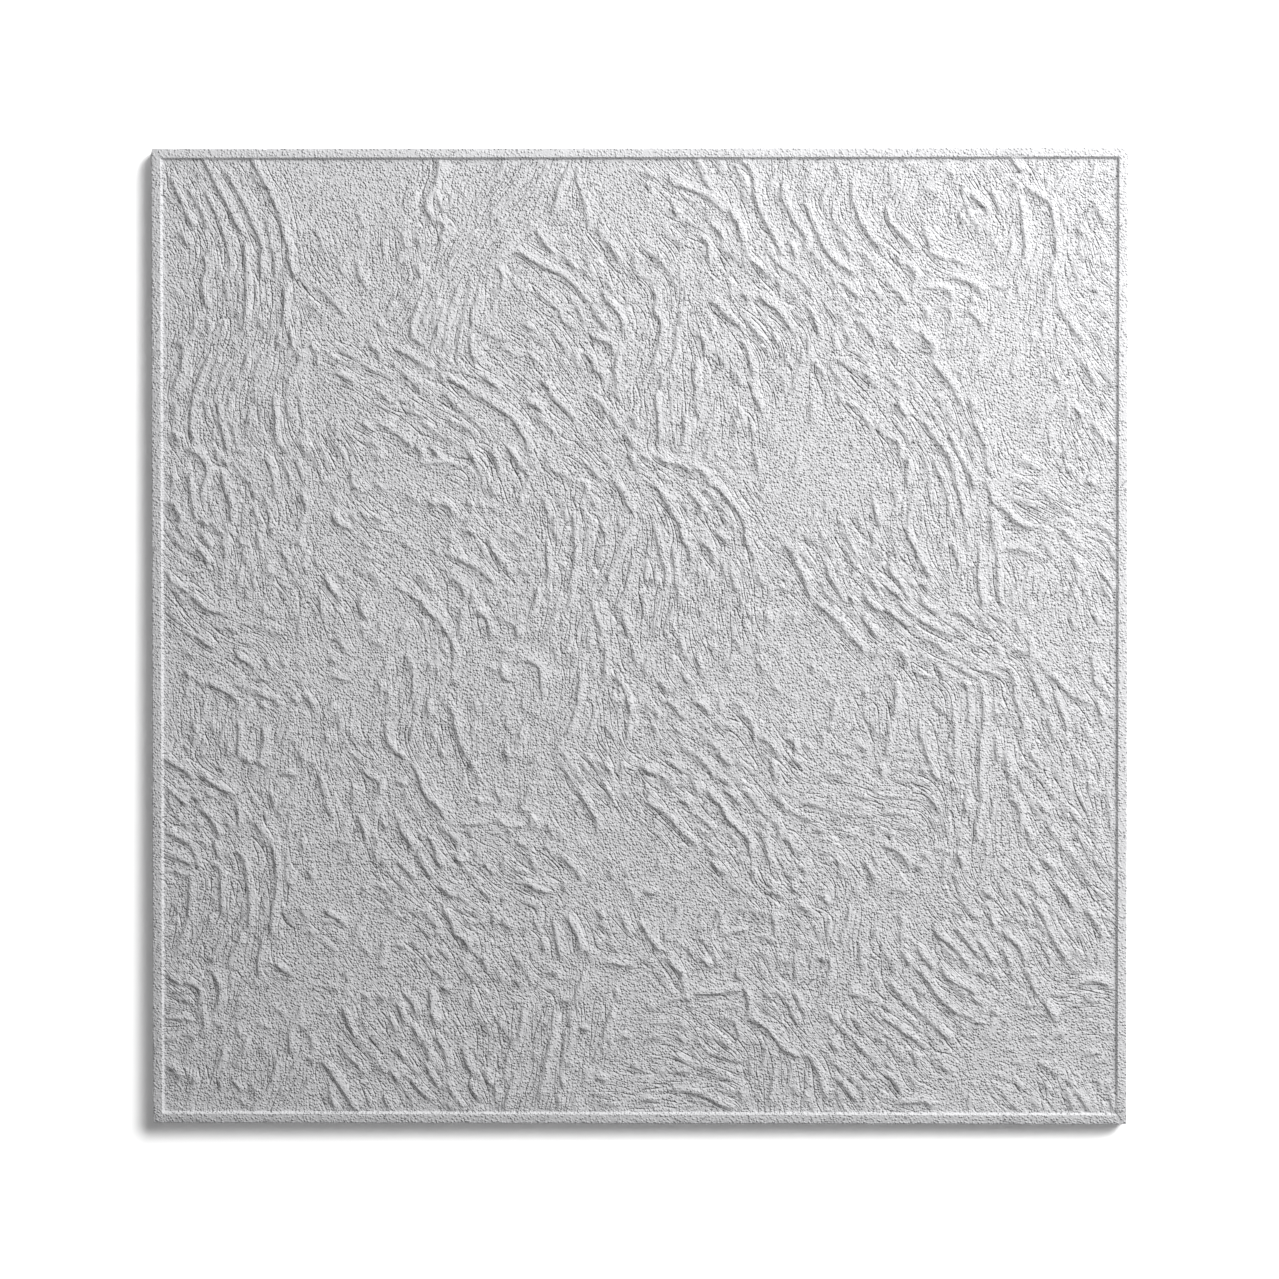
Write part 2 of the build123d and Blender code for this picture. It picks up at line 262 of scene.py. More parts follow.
MEDIUM_RIDGES = """
-232,229 -227,222 -224,216 -222,209;
-223,228 -219,220 -216,213 -213,205 -211,197 -210,189 -213,184 -213,178 -211,173;
-192,215 -190,205 -189,198 -187,192 -187,184; -222,199 -220,195 -219,188;
-228,166 -229,160 -229,157 -230,152; -197,181 -197,176 -197,170;
-178,146 -175,145 -174,141 -178,136 -181,132 -181,126; -185,157 -186,151 -184,148;
-166,208 -164,202 -162,198; -155,194 -154,188 -151,185; -146,193 -144,185 -141,180;
-176,184 -171,181 -169,177; -166,179 -160,174 -155,169 -152,166; -168,151 -168,148 -165,144 -165,141;
-154,147 -147,143 -140,138 -134,135 -127,132; -139,155 -140,150 -135,147 -133,142;
-135,162 -134,160 -130,156; -127,173 -128,170 -130,165; -216,145 -218,139 -220,133 -222,127;
-211,143 -214,136 -216,129; -200,150 -202,143 -204,136; -195,144 -197,138 -198,132;
-190,147 -193,138 -196,130 -199,125; -207,133 -209,125; -213,163 -215,158 -217,153;
-222,164 -222,159 -220,155; -199,162 -195,161 -193,157; -189,162 -190,155; -239,120 -238,115 -239,109;
-225,122 -223,118 -222,113; -213,112 -209,108 -208,101 -206,97; -219,107 -219,101;
-200,117 -201,110 -202,105; -195,117 -195,112; -198,125 -197,121; -197,107 -199,102;
-186,99 -182,96 -180,93; -209,95 -202,94; -240,84 -240,76; -235,69 -234,64; -222,85 -217,82;
-209,90 -206,84 -202,80 -199,76 -197,70; -206,90 -201,85 -198,80; -203,69 -204,63 -204,57;
-199,66 -197,62 -196,58; -193,72 -191,64 -189,60; -184,90 -181,85 -179,78; -172,81 -172,77 -174,75;
-172,63 -175,57 -176,52 -180,49; -178,52 -181,49; -202,51 -202,46; -205,45 -202,37; -206,51 -204,46;
-212,41 -215,37; -214,36 -215,31; -242,54 -238,48 -233,44 -230,44; -238,57 -233,50; -233,56 -231,49;
-220,67 -219,62; -222,60 -217,55 -213,51; -220,58 -215,52; -242,26 -238,21 -233,17; -237,34 -231,33;
-216,27 -215,24; -200,34 -198,32; -180,44 -176,38; -171,44 -173,39 -175,37; -184,27 -181,24;
-179,30 -175,25; -182,36 -176,31; -199,30 -198,25; -202,22 -201,19; -194,16 -193,11; -183,23 -182,20;
-156,15 -155,11; -175,12 -175,6 -176,0; -190,10 -186,9; -179,11 -178,9; -224,7 -223,4; -219,5 -213,3;
-242,12 -238,8 -234,5; -234,3 -230,0; -164,81 -163,78 -158,79; -148,87 -149,80 -145,75; -158,73 -155,69;
-149,64 -146,58; -136,78 -131,75; -143,63 -139,60; -137,61 -131,58; -141,48 -139,44; -141,41 -136,38;
-156,32 -150,29; -140,34 -134,27; -146,35 -140,31; -175,101 -173,96 -170,92; -139,100 -133,96;
-136,94 -134,90; -135,109 -127,106; -130,107 -125,103; -156,110 -156,104; -181,125 -182,119 -180,112;
-134,125 -127,119; -133,8 -134,4; -143,5 -142,0; -234,-8 -229,-10; -231,-23 -234,-28 -233,-31;
-208,-25 -202,-27 -198,-29; -196,-34 -192,-38; -188,-32 -186,-36; -179,-31 -176,-35; -158,-33 -160,-40;
-200,-32 -203,-38 -207,-42; -180,-45 -182,-51 -184,-56; -180,-53 -177,-55; -220,-44 -219,-49;
-213,-44 -215,-51 -217,-56; -212,-53 -212,-60; -222,-53 -226,-59 -224,-63; -234,-56 -232,-59;
-195,-103 -192,-108; -216,-67 -214,-70; -198,-68 -199,-72; -184,-72 -188,-79;
-176,-74 -179,-80 -184,-86; -176,-58 -173,-65; -171,-59 -174,-67; -170,-63 -168,-67;
-162,-86 -160,-90 -158,-93; -155,-38 -154,-48; -160,-63 -160,-69; -147,-61 -143,-65; -136,-66 -132,-70;
-132,-71 -134,-79 -136,-86 -137,-92; -148,-79 -147,-84; -150,-92 -153,-100; -133,-94 -130,-99;
-130,-12 -132,-20; -130,-26 -129,-32 -131,-38; -135,-22 -133,-28; -158,-21 -150,-23; -160,-10 -156,-14;
-157,0 -153,-4 -151,-8; -147,-14 -151,-18; -137,-3 -132,-5; -243,-82 -241,-88; -225,-79 -219,-83;
-238,-78 -232,-79; -213,-95 -210,-99; -229,-96 -226,-100; -239,-91 -237,-95; -235,-95 -232,-100;
-231,-107 -229,-112 -227,-119; -244,-121 -236,-122 -231,-124; -220,-117 -216,-119 -215,-125;
-181,-109 -182,-115 -182,-125; -180,-96 -182,-102; -193,-90 -192,-94; -186,-89 -185,-93;
-179,-84 -178,-88; -181,-90 -180,-93; -155,-105 -149,-107; -149,-110 -149,-116; -137,-109 -135,-115;
-133,-113 -131,-118; -171,-121 -168,-125; -230,-50 -229,-55; -234,-148 -236,-155 -238,-163;
-215,-152 -217,-158 -219,-164; -221,-143 -222,-149; -220,-134 -218,-137; -196,-155 -193,-157;
-194,-166 -190,-169; -186,-154 -187,-158; -198,-176 -198,-179; -210,-173 -211,-178; -204,-181 -207,-188;
-205,-190 -209,-196; -220,-198 -215,-201; -238,-171 -236,-175; -244,-197 -237,-197 -230,-198;
-234,-205 -229,-207; -229,-207 -232,-213 -235,-218; -244,-208 -238,-208; -230,-232 -233,-240 -236,-244;
-218,-222 -220,-226; -216,-222 -215,-226; -190,-231 -195,-237 -200,-244; -202,-206 -205,-213;
-207,-200 -207,-205; -174,-190 -176,-196 -180,-200; -171,-204 -168,-209 -169,-216;
-173,-213 -178,-219 -181,-227; -170,-226 -172,-231 -177,-238; -154,-210 -150,-217 -145,-221 -142,-226;
-135,-128 -129,-131; -162,-147 -156,-148; -142,-143 -145,-149 -148,-157; -143,-160 -139,-164;
-132,-156 -133,-163 -134,-169; -152,-173 -150,-176; -129,-195 -127,-201 -125,-204; -140,-236 -139,-241;
-129,-134 -125,-138; -175,-140 -171,-145; -155,-155 -153,-157; -158,-160 -156,-162; -157,-168 -156,-169;
-164,-194 -158,-195; -170,-152 -167,-154; -129,-185 -127,-188; -136,-220 -130,-226; -210,-228 -205,-234;
-240,-137 -238,-141; -142,-185 -139,-187; -105,227 -103,223 -101,217; -96,227 -99,220;
-114,228 -120,222 -123,219; -114,208 -115,204 -112,200; -70,244 -70,241 -74,235;
-62,231 -69,224 -75,219 -77,215; -48,243 -50,237 -52,233 -60,225;
-32,241 -33,233 -31,230 -30,226 -28,222 -28,217 -26,210; -22,209 -19,204; -74,218 -72,211;
-85,209 -88,204; -90,202 -95,196 -101,188; -65,201 -70,197 -75,191; -56,213 -57,209; -30,188 -25,183;
-28,194 -26,189 -23,185; -18,182 -13,176; -52,177 -47,171 -41,167 -40,162 -36,159 -32,157;
-33,169 -28,160; -35,147 -34,142 -31,138; -42,143 -38,138; -45,156 -42,151 -38,148 -38,145;
-70,148 -65,144; -66,183 -63,180 -60,175; -75,178 -73,174;
-87,184 -88,175 -90,168 -92,160 -93,152 -94,144; -104,175 -105,168 -106,160; -106,151 -108,145;
-104,144 -101,141; -113,131 -109,127; -113,184 -118,178 -124,173; -109,182 -106,176; -123,197 -124,192;
-122,195 -120,190; -5,197 -2,192 -4,188 -1,185; -100,125 -96,119 -90,114 -84,109 -79,105;
-90,118 -87,114; -93,109 -88,106 -85,103; -120,116 -115,114 -110,112;
-112,110 -106,105 -101,102 -95,100; -112,88 -106,88 -100,89 -94,88; -84,86 -81,84 -81,77; -57,89 -53,86;
-52,113 -48,108 -44,104; -30,89 -26,87 -23,83 -19,80; -3,62 -5,56 -9,51 -10,46 -11,41 -14,36;
-17,26 -19,21; -11,61 -11,55; -25,62 -26,54 -27,46; -18,48 -21,42 -21,39; -4,42 -5,33 -8,23 -12,14;
-34,26 -37,16 -38,14; -44,62 -44,56; -45,56 -42,49; -48,24 -47,19; -42,21 -43,14 -46,6 -48,0;
-56,84 -59,79 -60,74; -61,73 -62,67; -46,86 -41,83 -38,82 -35,80; -48,92 -48,88; -38,98 -36,96;
-88,69 -86,66; -90,60 -88,56; -82,47 -80,42; -82,34 -79,31 -75,27; -99,43 -96,40; -106,45 -104,42;
-97,53 -97,49; -72,51 -66,49 -62,45; -53,44 -52,40; -69,36 -66,32; -91,29 -87,25;
-113,31 -109,27 -107,23; -120,22 -125,25; -75,11 -72,9 -67,7 -63,4; -80,24 -77,17; -69,25 -67,21;
-72,18 -71,14; -30,25 -27,22; -25,13 -30,8 -32,2; -10,9 -7,5; -112,9 -110,4; -43,71 -40,67;
-39,69 -37,66; -34,73 -33,69; -29,79 -27,73; -25,70 -23,66; -39,66 -38,60; -30,67 -28,60;
-117,120 -125,121; -82,69 -81,66; -25,123 -20,119; -62,34 -56,31; -27,57 -28,45;
-97,-17 -101,-23 -107,-28; -120,-10 -117,-16 -116,-24 -118,-33; -114,-23 -114,-32 -116,-37;
-105,-6 -105,-14 -104,-20; -97,-22 -94,-24; -103,-31 -100,-35; -107,-48 -106,-52; -114,-60 -113,-63;
-112,-56 -112,-58; -116,-44 -118,-50 -118,-54; -121,-79 -120,-84; -113,-100 -112,-103; -90,-97 -86,-103;
-85,-110 -83,-114; -50,-31 -54,-38; -68,-5 -72,-12; -78,-16 -73,-18; -62,-7 -63,-11; -85,-32 -85,-38;
-68,-30 -71,-36 -75,-40 -76,-44; -60,-29 -60,-37; -60,-45 -62,-50 -61,-55; -66,-69 -68,-73;
-85,-46 -86,-50; -56,-75 -58,-81 -60,-86 -58,-90; -54,-96 -53,-99; -79,-86 -75,-86; -75,-79 -71,-84;
-74,-95 -70,-95 -69,-98; -90,-97 -81,-97 -76,-95; -66,-92 -69,-96; -69,-98 -60,-98; -75,-102 -71,-101;
-68,-100 -66,-101; -57,-108 -56,-111; -71,-115 -70,-121; -65,-121 -58,-122; -36,0 -37,-6; -21,0 -21,-6;
-39,-51 -42,-56 -44,-60; -23,-36 -24,-41 -26,-48 -28,-54; -27,0 -26,-5; -34,-4 -34,-10;
-13,-20 -9,-26 -7,-29; -10,-54 -8,-57; -4,-36 0,-38; -3,-4 -4,-9 -1,-15; -22,-45 -17,-47 -13,-53;
-30,-66 -26,-71; -40,-59 -37,-65 -33,-71 -29,-75; -41,-64 -37,-71 -33,-78; -29,-60 -24,-66 -19,-71;
-20,-74 -16,-80 -14,-86; -9,-79 -7,-83; -46,-112 -43,-114; -48,-96 -44,-104; -42,-99 -40,-105;
-8,-119 -6,-123; -80,-117 -75,-122; -97,-131 -91,-135 -87,-139; -94,-141 -86,-142 -80,-144;
-88,-148 -78,-147; -60,-137 -52,-139; -117,-156 -115,-160; -109,-169 -104,-173 -100,-178;
-105,-151 -104,-154; -113,-141 -107,-146 -103,-151; -112,-131 -109,-133; -104,-160 -98,-166;
-91,-165 -90,-171; -106,-190 -105,-196; -109,-215 -105,-221 -101,-227; -104,-232 -98,-234;
-101,-203 -97,-204; -78,-213 -77,-218; -75,-231 -74,-238; -125,-222 -119,-228; -125,-212 -120,-218;
-97,-238 -93,-243; -116,-178 -116,-180; -63,-208 -64,-214; -69,-220 -70,-227; -67,-189 -61,-188;
-55,-212 -54,-218; -38,-202 -39,-211 -40,-219; -33,-237 -35,-243; -36,-214 -37,-222;
-31,-163 -27,-161 -26,-166; -55,-146 -52,-150; -59,-149 -58,-151; -47,-181 -43,-183; -41,-187 -35,-188;
-22,-210 -23,-218; -13,-181 -12,-186; -27,-222 -29,-230; -18,-168 -10,-169 -2,-170;
-10,-141 -8,-148 -6,-153; -11,-152 -15,-153; -8,-126 -6,-130; -4,-131 -3,-137; -22,-155 -23,-157;
-61,-215 -62,-223; -82,-130 -76,-136; -71,-134 -69,-136; 48,242 50,238 53,232 56,228; 61,237 62,232;
70,240 67,233 66,229; 77,245 78,240; 88,239 85,233 83,228; 97,232 93,226 93,220;
99,221 98,214 101,209 106,206 109,200 112,195; 114,197 118,191 121,186; 116,241 116,238;
100,240 102,237; 87,199 90,194 93,189 97,187 99,182 101,178; 116,180 121,175 125,173;
74,179 78,174 82,171; 66,199 68,193 73,188 80,185 84,180 88,176; 87,180 88,174; 40,200 46,196 52,191;
34,219 34,215 36,212; 1,199 8,195 11,191 15,186 18,180; 14,195 17,190; 21,190 20,184 20,178;
0,184 5,183 10,179; 18,159 19,154 18,147 16,140 14,134; 35,161 37,155; 35,149 37,146 41,144 43,139;
52,165 56,160 60,155 64,150; 31,182 33,178; 46,178 47,172; 47,181 48,178; 69,171 72,168 76,164;
80,165 84,161; 52,152 55,147 57,140; 48,136 50,132 52,128; 86,154 86,147 87,142;
84,146 81,137 79,131 78,125; 72,135 74,130 74,125; 95,171 96,166 101,164; 104,158 108,151;
110,167 115,164; 112,162 116,157 121,152; 99,155 100,148; 111,145 117,140; 97,139 100,134 103,129;
113,136 118,131 123,126; 88,142 91,138 95,133; 3,238 6,235 10,234; 3,232 6,228; 29,125 28,118 30,113;
39,117 36,112 34,107 33,103; 36,100 34,93 33,90; 30,97 26,92; 65,115 62,110; 56,45 59,41 59,37 57,33;
32,76 38,70 42,65 46,60 49,54; 35,65 35,59; 42,62 45,57; 46,41 46,35; 42,37 43,30; 26,36 24,31 21,26;
17,17 15,10 12,3; 13,26 11,21 8,12 6,6; 5,48 4,41 3,35 3,30; 0,62 2,60; 52,20 52,12; 55,14 57,9;
47,7 48,0; 37,6 38,2; 35,23 34,19; 67,24 66,21; 28,50 25,49; 68,51 73,50; 79,47 83,42 87,37;
100,37 103,29; 92,28 95,22 100,17; 104,46 108,40 111,34; 111,62 113,55; 121,107 125,104; 88,121 87,111;
81,94 78,84; 58,95 60,90 61,84; 62,78 63,73; 60,73 63,70; 95,69 95,65; 80,57 80,52; 90,64 88,59;
50,97 46,90; 16,122 16,110; 36,34 34,26; 22,68 25,63; 96,47 99,42; 22,-9 25,-12; 36,-5 38,-8;
5,-9 2,-15 3,-20; 17,-10 16,-13; 17,-27 19,-30; 28,-28 29,-33; 41,-31 40,-38; 48,-9 44,-16; 49,-2 52,-8;
60,-2 61,-5; 70,-22 70,-25; 72,-8 72,-11; 49,-34 53,-38; 75,-53 80,-54 80,-60; 84,-55 88,-59;
93,-50 94,-56; 100,-31 99,-38 98,-44; 88,-14 89,-18; 95,-22 98,-25; 115,-7 120,-9 125,-10;
114,-26 116,-31; 114,-38 115,-42 119,-45 121,-50; 121,-27 123,-29; 6,-45 9,-50; 18,-47 20,-50 23,-51;
21,-57 25,-60 29,-61; 31,-50 35,-54; 46,-60 49,-64 53,-68; 10,-71 14,-75 18,-79; 15,-64 19,-67 23,-70;
19,-76 23,-77; 25,-71 28,-76 30,-81; 53,-79 57,-83 61,-88 65,-91; 58,-80 62,-86; 70,-75 68,-80;
72,-80 78,-82; 74,-88 80,-92 89,-95; 82,-85 90,-87 100,-90 110,-93; 84,-80 83,-85; 60,-88 66,-94 72,-98;
19,-98 24,-103 29,-108; 4,-79 5,-82; 28,-91 33,-95 38,-100; 40,-107 44,-112; 51,-112 53,-116;
9,-114 9,-118; 7,-94 8,-96; 9,-101 11,-104; 82,-118 86,-122; 106,-102 112,-103; 119,-112 122,-118;
93,-111 99,-112; 119,-79 124,-82; 121,-75 123,-79; 110,-82 117,-84; 110,-88 114,-88; 112,-92 120,-93;
100,-92 102,-94; 119,-97 121,-101; 34,-107 42,-116; 17,-134 18,-134; 21,-177 20,-181; 56,-216 57,-224;
65,-205 64,-212 63,-221; 78,-218 77,-226 76,-232; 78,-229 80,-235; 70,-235 71,-239; 88,-241 88,-244;
67,-182 72,-184 75,-187; 63,-183 68,-187; 57,-140 61,-143; 62,-142 64,-143; 50,-140 54,-142;
55,-133 59,-135; 43,-154 50,-152 55,-151; 89,-149 93,-155; 82,-146 83,-150; 74,-167 77,-168;
62,-162 66,-167; 70,-162 71,-167; 80,-156 84,-160; 86,-163 88,-168; 95,-179 93,-184; 108,-177 108,-183;
106,-192 105,-195; 110,-195 113,-200 115,-203; 110,-208 114,-213 120,-217; 97,-217 102,-222 107,-226;
114,-223 117,-228 122,-227; 111,-229 116,-235; 120,-216 121,-223; 116,-186 120,-188; 121,-148 120,-154;
124,-158 125,-160; 110,-130 112,-133; 121,-175 123,-179; 20,-138 18,-146 15,-151;
31,-155 35,-159 37,-164; 31,-147 31,-150; 41,-144 41,-151; 13,-189 21,-186; 20,-199 24,-202;
33,-203 35,-207; 36,-205 41,-208 46,-211; 19,-205 23,-209; 30,-221 38,-223; 27,-214 30,-217;
35,-214 43,-217 53,-219; 40,-226 47,-228; 11,-224 13,-226; 60,-235 60,-236; 40,-187 36,-190;
25,-190 27,-192; 41,-196 47,-197; 137,229 135,223 133,216; 133,230 130,224;
157,244 155,239 151,236 147,231; 155,239 161,236; 166,222 168,217 169,213; 177,213 177,209 178,205;
185,225 187,220; 178,241 182,240 185,237; 177,243 176,239; 190,205 190,198 187,192; 182,205 180,198;
204,198 200,191 199,184; 215,221 216,214 218,209; 213,180 213,173 215,167 219,161;
208,183 208,175 207,168 205,164; 207,163 205,155 206,152; 213,159 213,153; 148,196 153,194 158,192;
160,193 165,190 170,190; 137,170 131,165 126,161; 139,183 140,178 139,173; 145,178 151,178 156,178;
153,168 158,168 160,165 157,158; 170,174 171,168; 168,164 163,160 161,155; 189,177 185,169;
193,180 193,175; 181,163 179,158 177,152; 181,180 183,178 187,178; 138,159 139,156 144,155;
126,134 130,131; 161,137 165,132; 175,147 172,141 169,136; 194,146 192,140 189,136 192,133;
206,144 207,140; 232,137 238,134 242,128; 221,191 223,187 224,181; 223,210 227,205;
225,203 224,196 228,192; 235,193 239,189; 236,168 240,164; 225,170 229,168; 208,234 208,230;
233,243 230,234; 231,178 235,175; 128,237 128,232; 145,229 151,227; 174,150 173,148; 138,132 142,127;
216,143 217,138; 199,189 199,184; 131,110 135,104 139,98; 140,76 138,69 138,63 136,57;
130,77 131,71 131,66; 130,46 132,41; 137,29 141,25; 150,91 152,86 155,80 157,73 158,67 159,62;
148,80 148,73 150,66; 142,101 145,96; 149,115 154,108; 152,122 155,117 155,113; 157,116 160,110;
164,108 166,102; 169,97 171,89; 204,56 209,53; 215,55 219,51 222,49; 178,43 178,37; 161,61 162,55;
157,84 159,78; 156,52 155,46; 167,53 168,45; 143,52 144,46 147,40; 141,38 142,35;
170,13 175,10 176,5 182,2; 176,12 182,10 187,7; 140,5 144,0; 155,7 161,5 165,1; 193,9 194,2;
190,25 191,17; 196,89 200,88 203,85; 192,80 197,79; 206,75 210,71 212,67; 190,71 197,68 205,65;
187,45 194,45 201,42; 207,48 210,43 211,41; 203,42 203,39; 207,60 210,60; 213,38 214,36;
210,35 205,28 204,23; 200,36 196,27; 199,20 198,12; 217,88 222,83; 225,83 224,78; 231,92 231,86;
224,92 228,91; 217,97 218,90; 223,101 224,96; 232,99 235,93; 209,107 210,100; 219,124 218,114;
213,124 204,117 203,112; 197,121 191,114; 240,101 243,98; 234,58 239,54 243,51; 234,50 238,48;
240,46 242,41 244,38; 236,27 240,20; 223,31 224,27; 227,26 228,21; 221,26 222,20; 224,20 224,11;
220,10 223,4; 143,0 148,-2 154,-6 160,-10 165,-12; 157,-13 163,-16 168,-19 174,-22; 157,-55 159,-63;
147,-11 149,-15; 144,-8 145,-11; 142,-18 145,-21 152,-22; 150,-34 154,-39 160,-41; 126,-19 130,-21;
169,-4 174,-6 180,-5; 171,-16 177,-18 182,-20 186,-21; 165,-12 175,-15 190,-17; 190,-7 196,-8 199,-9;
181,-30 181,-37 183,-44; 222,-31 226,-32 229,-35; 238,-29 241,-32; 238,-40 243,-41; 228,-48 229,-52;
228,-60 228,-65 230,-69; 190,-76 190,-82; 193,-70 195,-76 197,-80; 210,-78 213,-84; 216,-60 217,-66;
224,-80 227,-86 230,-92; 232,-92 235,-98; 239,-79 240,-88 241,-98; 229,-96 234,-103;
234,-104 233,-110 232,-115 236,-118; 230,-74 230,-82; 181,-82 181,-88 180,-93;
178,-96 177,-103 177,-110; 163,-97 164,-103 163,-109; 149,-93 151,-97; 155,-95 158,-100;
160,-76 163,-79; 148,-110 157,-109; 156,-111 160,-112; 156,-112 156,-120 155,-125; 142,-117 145,-120;
200,-116 203,-121; 214,-104 217,-110; 220,-110 224,-116 227,-120; 185,-117 190,-121; 193,-113 192,-117;
178,-112 176,-118 174,-124; 240,-119 243,-124; 126,-83 133,-82; 126,-91 133,-91 138,-92;
209,-96 213,-104; 223,-100 228,-108; 163,-125 163,-131 165,-136 168,-140 173,-145;
183,-125 186,-131 190,-136; 229,-125 231,-128; 237,-144 243,-146; 234,-160 235,-167; 196,-142 199,-148;
191,-142 195,-147; 199,-152 204,-156 208,-159; 208,-161 211,-168; 190,-170 191,-175; 173,-172 178,-175;
180,-173 184,-177; 160,-180 166,-184; 176,-190 175,-194; 182,-195 180,-200 176,-205; 163,-194 172,-196;
164,-197 165,-204; 135,-187 141,-191 147,-196 152,-201 158,-205; 142,-208 146,-211; 133,-142 135,-149;
125,-163 129,-167; 130,-167 131,-173; 129,-130 137,-131; 161,-140 163,-143; 177,-138 179,-139;
126,-219 131,-224; 150,-217 156,-218; 137,-225 142,-231; 171,-228 171,-231; 175,-240 176,-242;
186,-235 189,-238; 205,-219 210,-222; 194,-229 196,-232; 212,-223 214,-226; 235,-227 237,-232;
239,-229 242,-234; 229,-215 237,-214; 221,-172 226,-173; 228,-186 234,-188; 211,-185 220,-184;
197,-190 202,-190; 213,-206 219,-203; 214,-149 218,-157;
"""

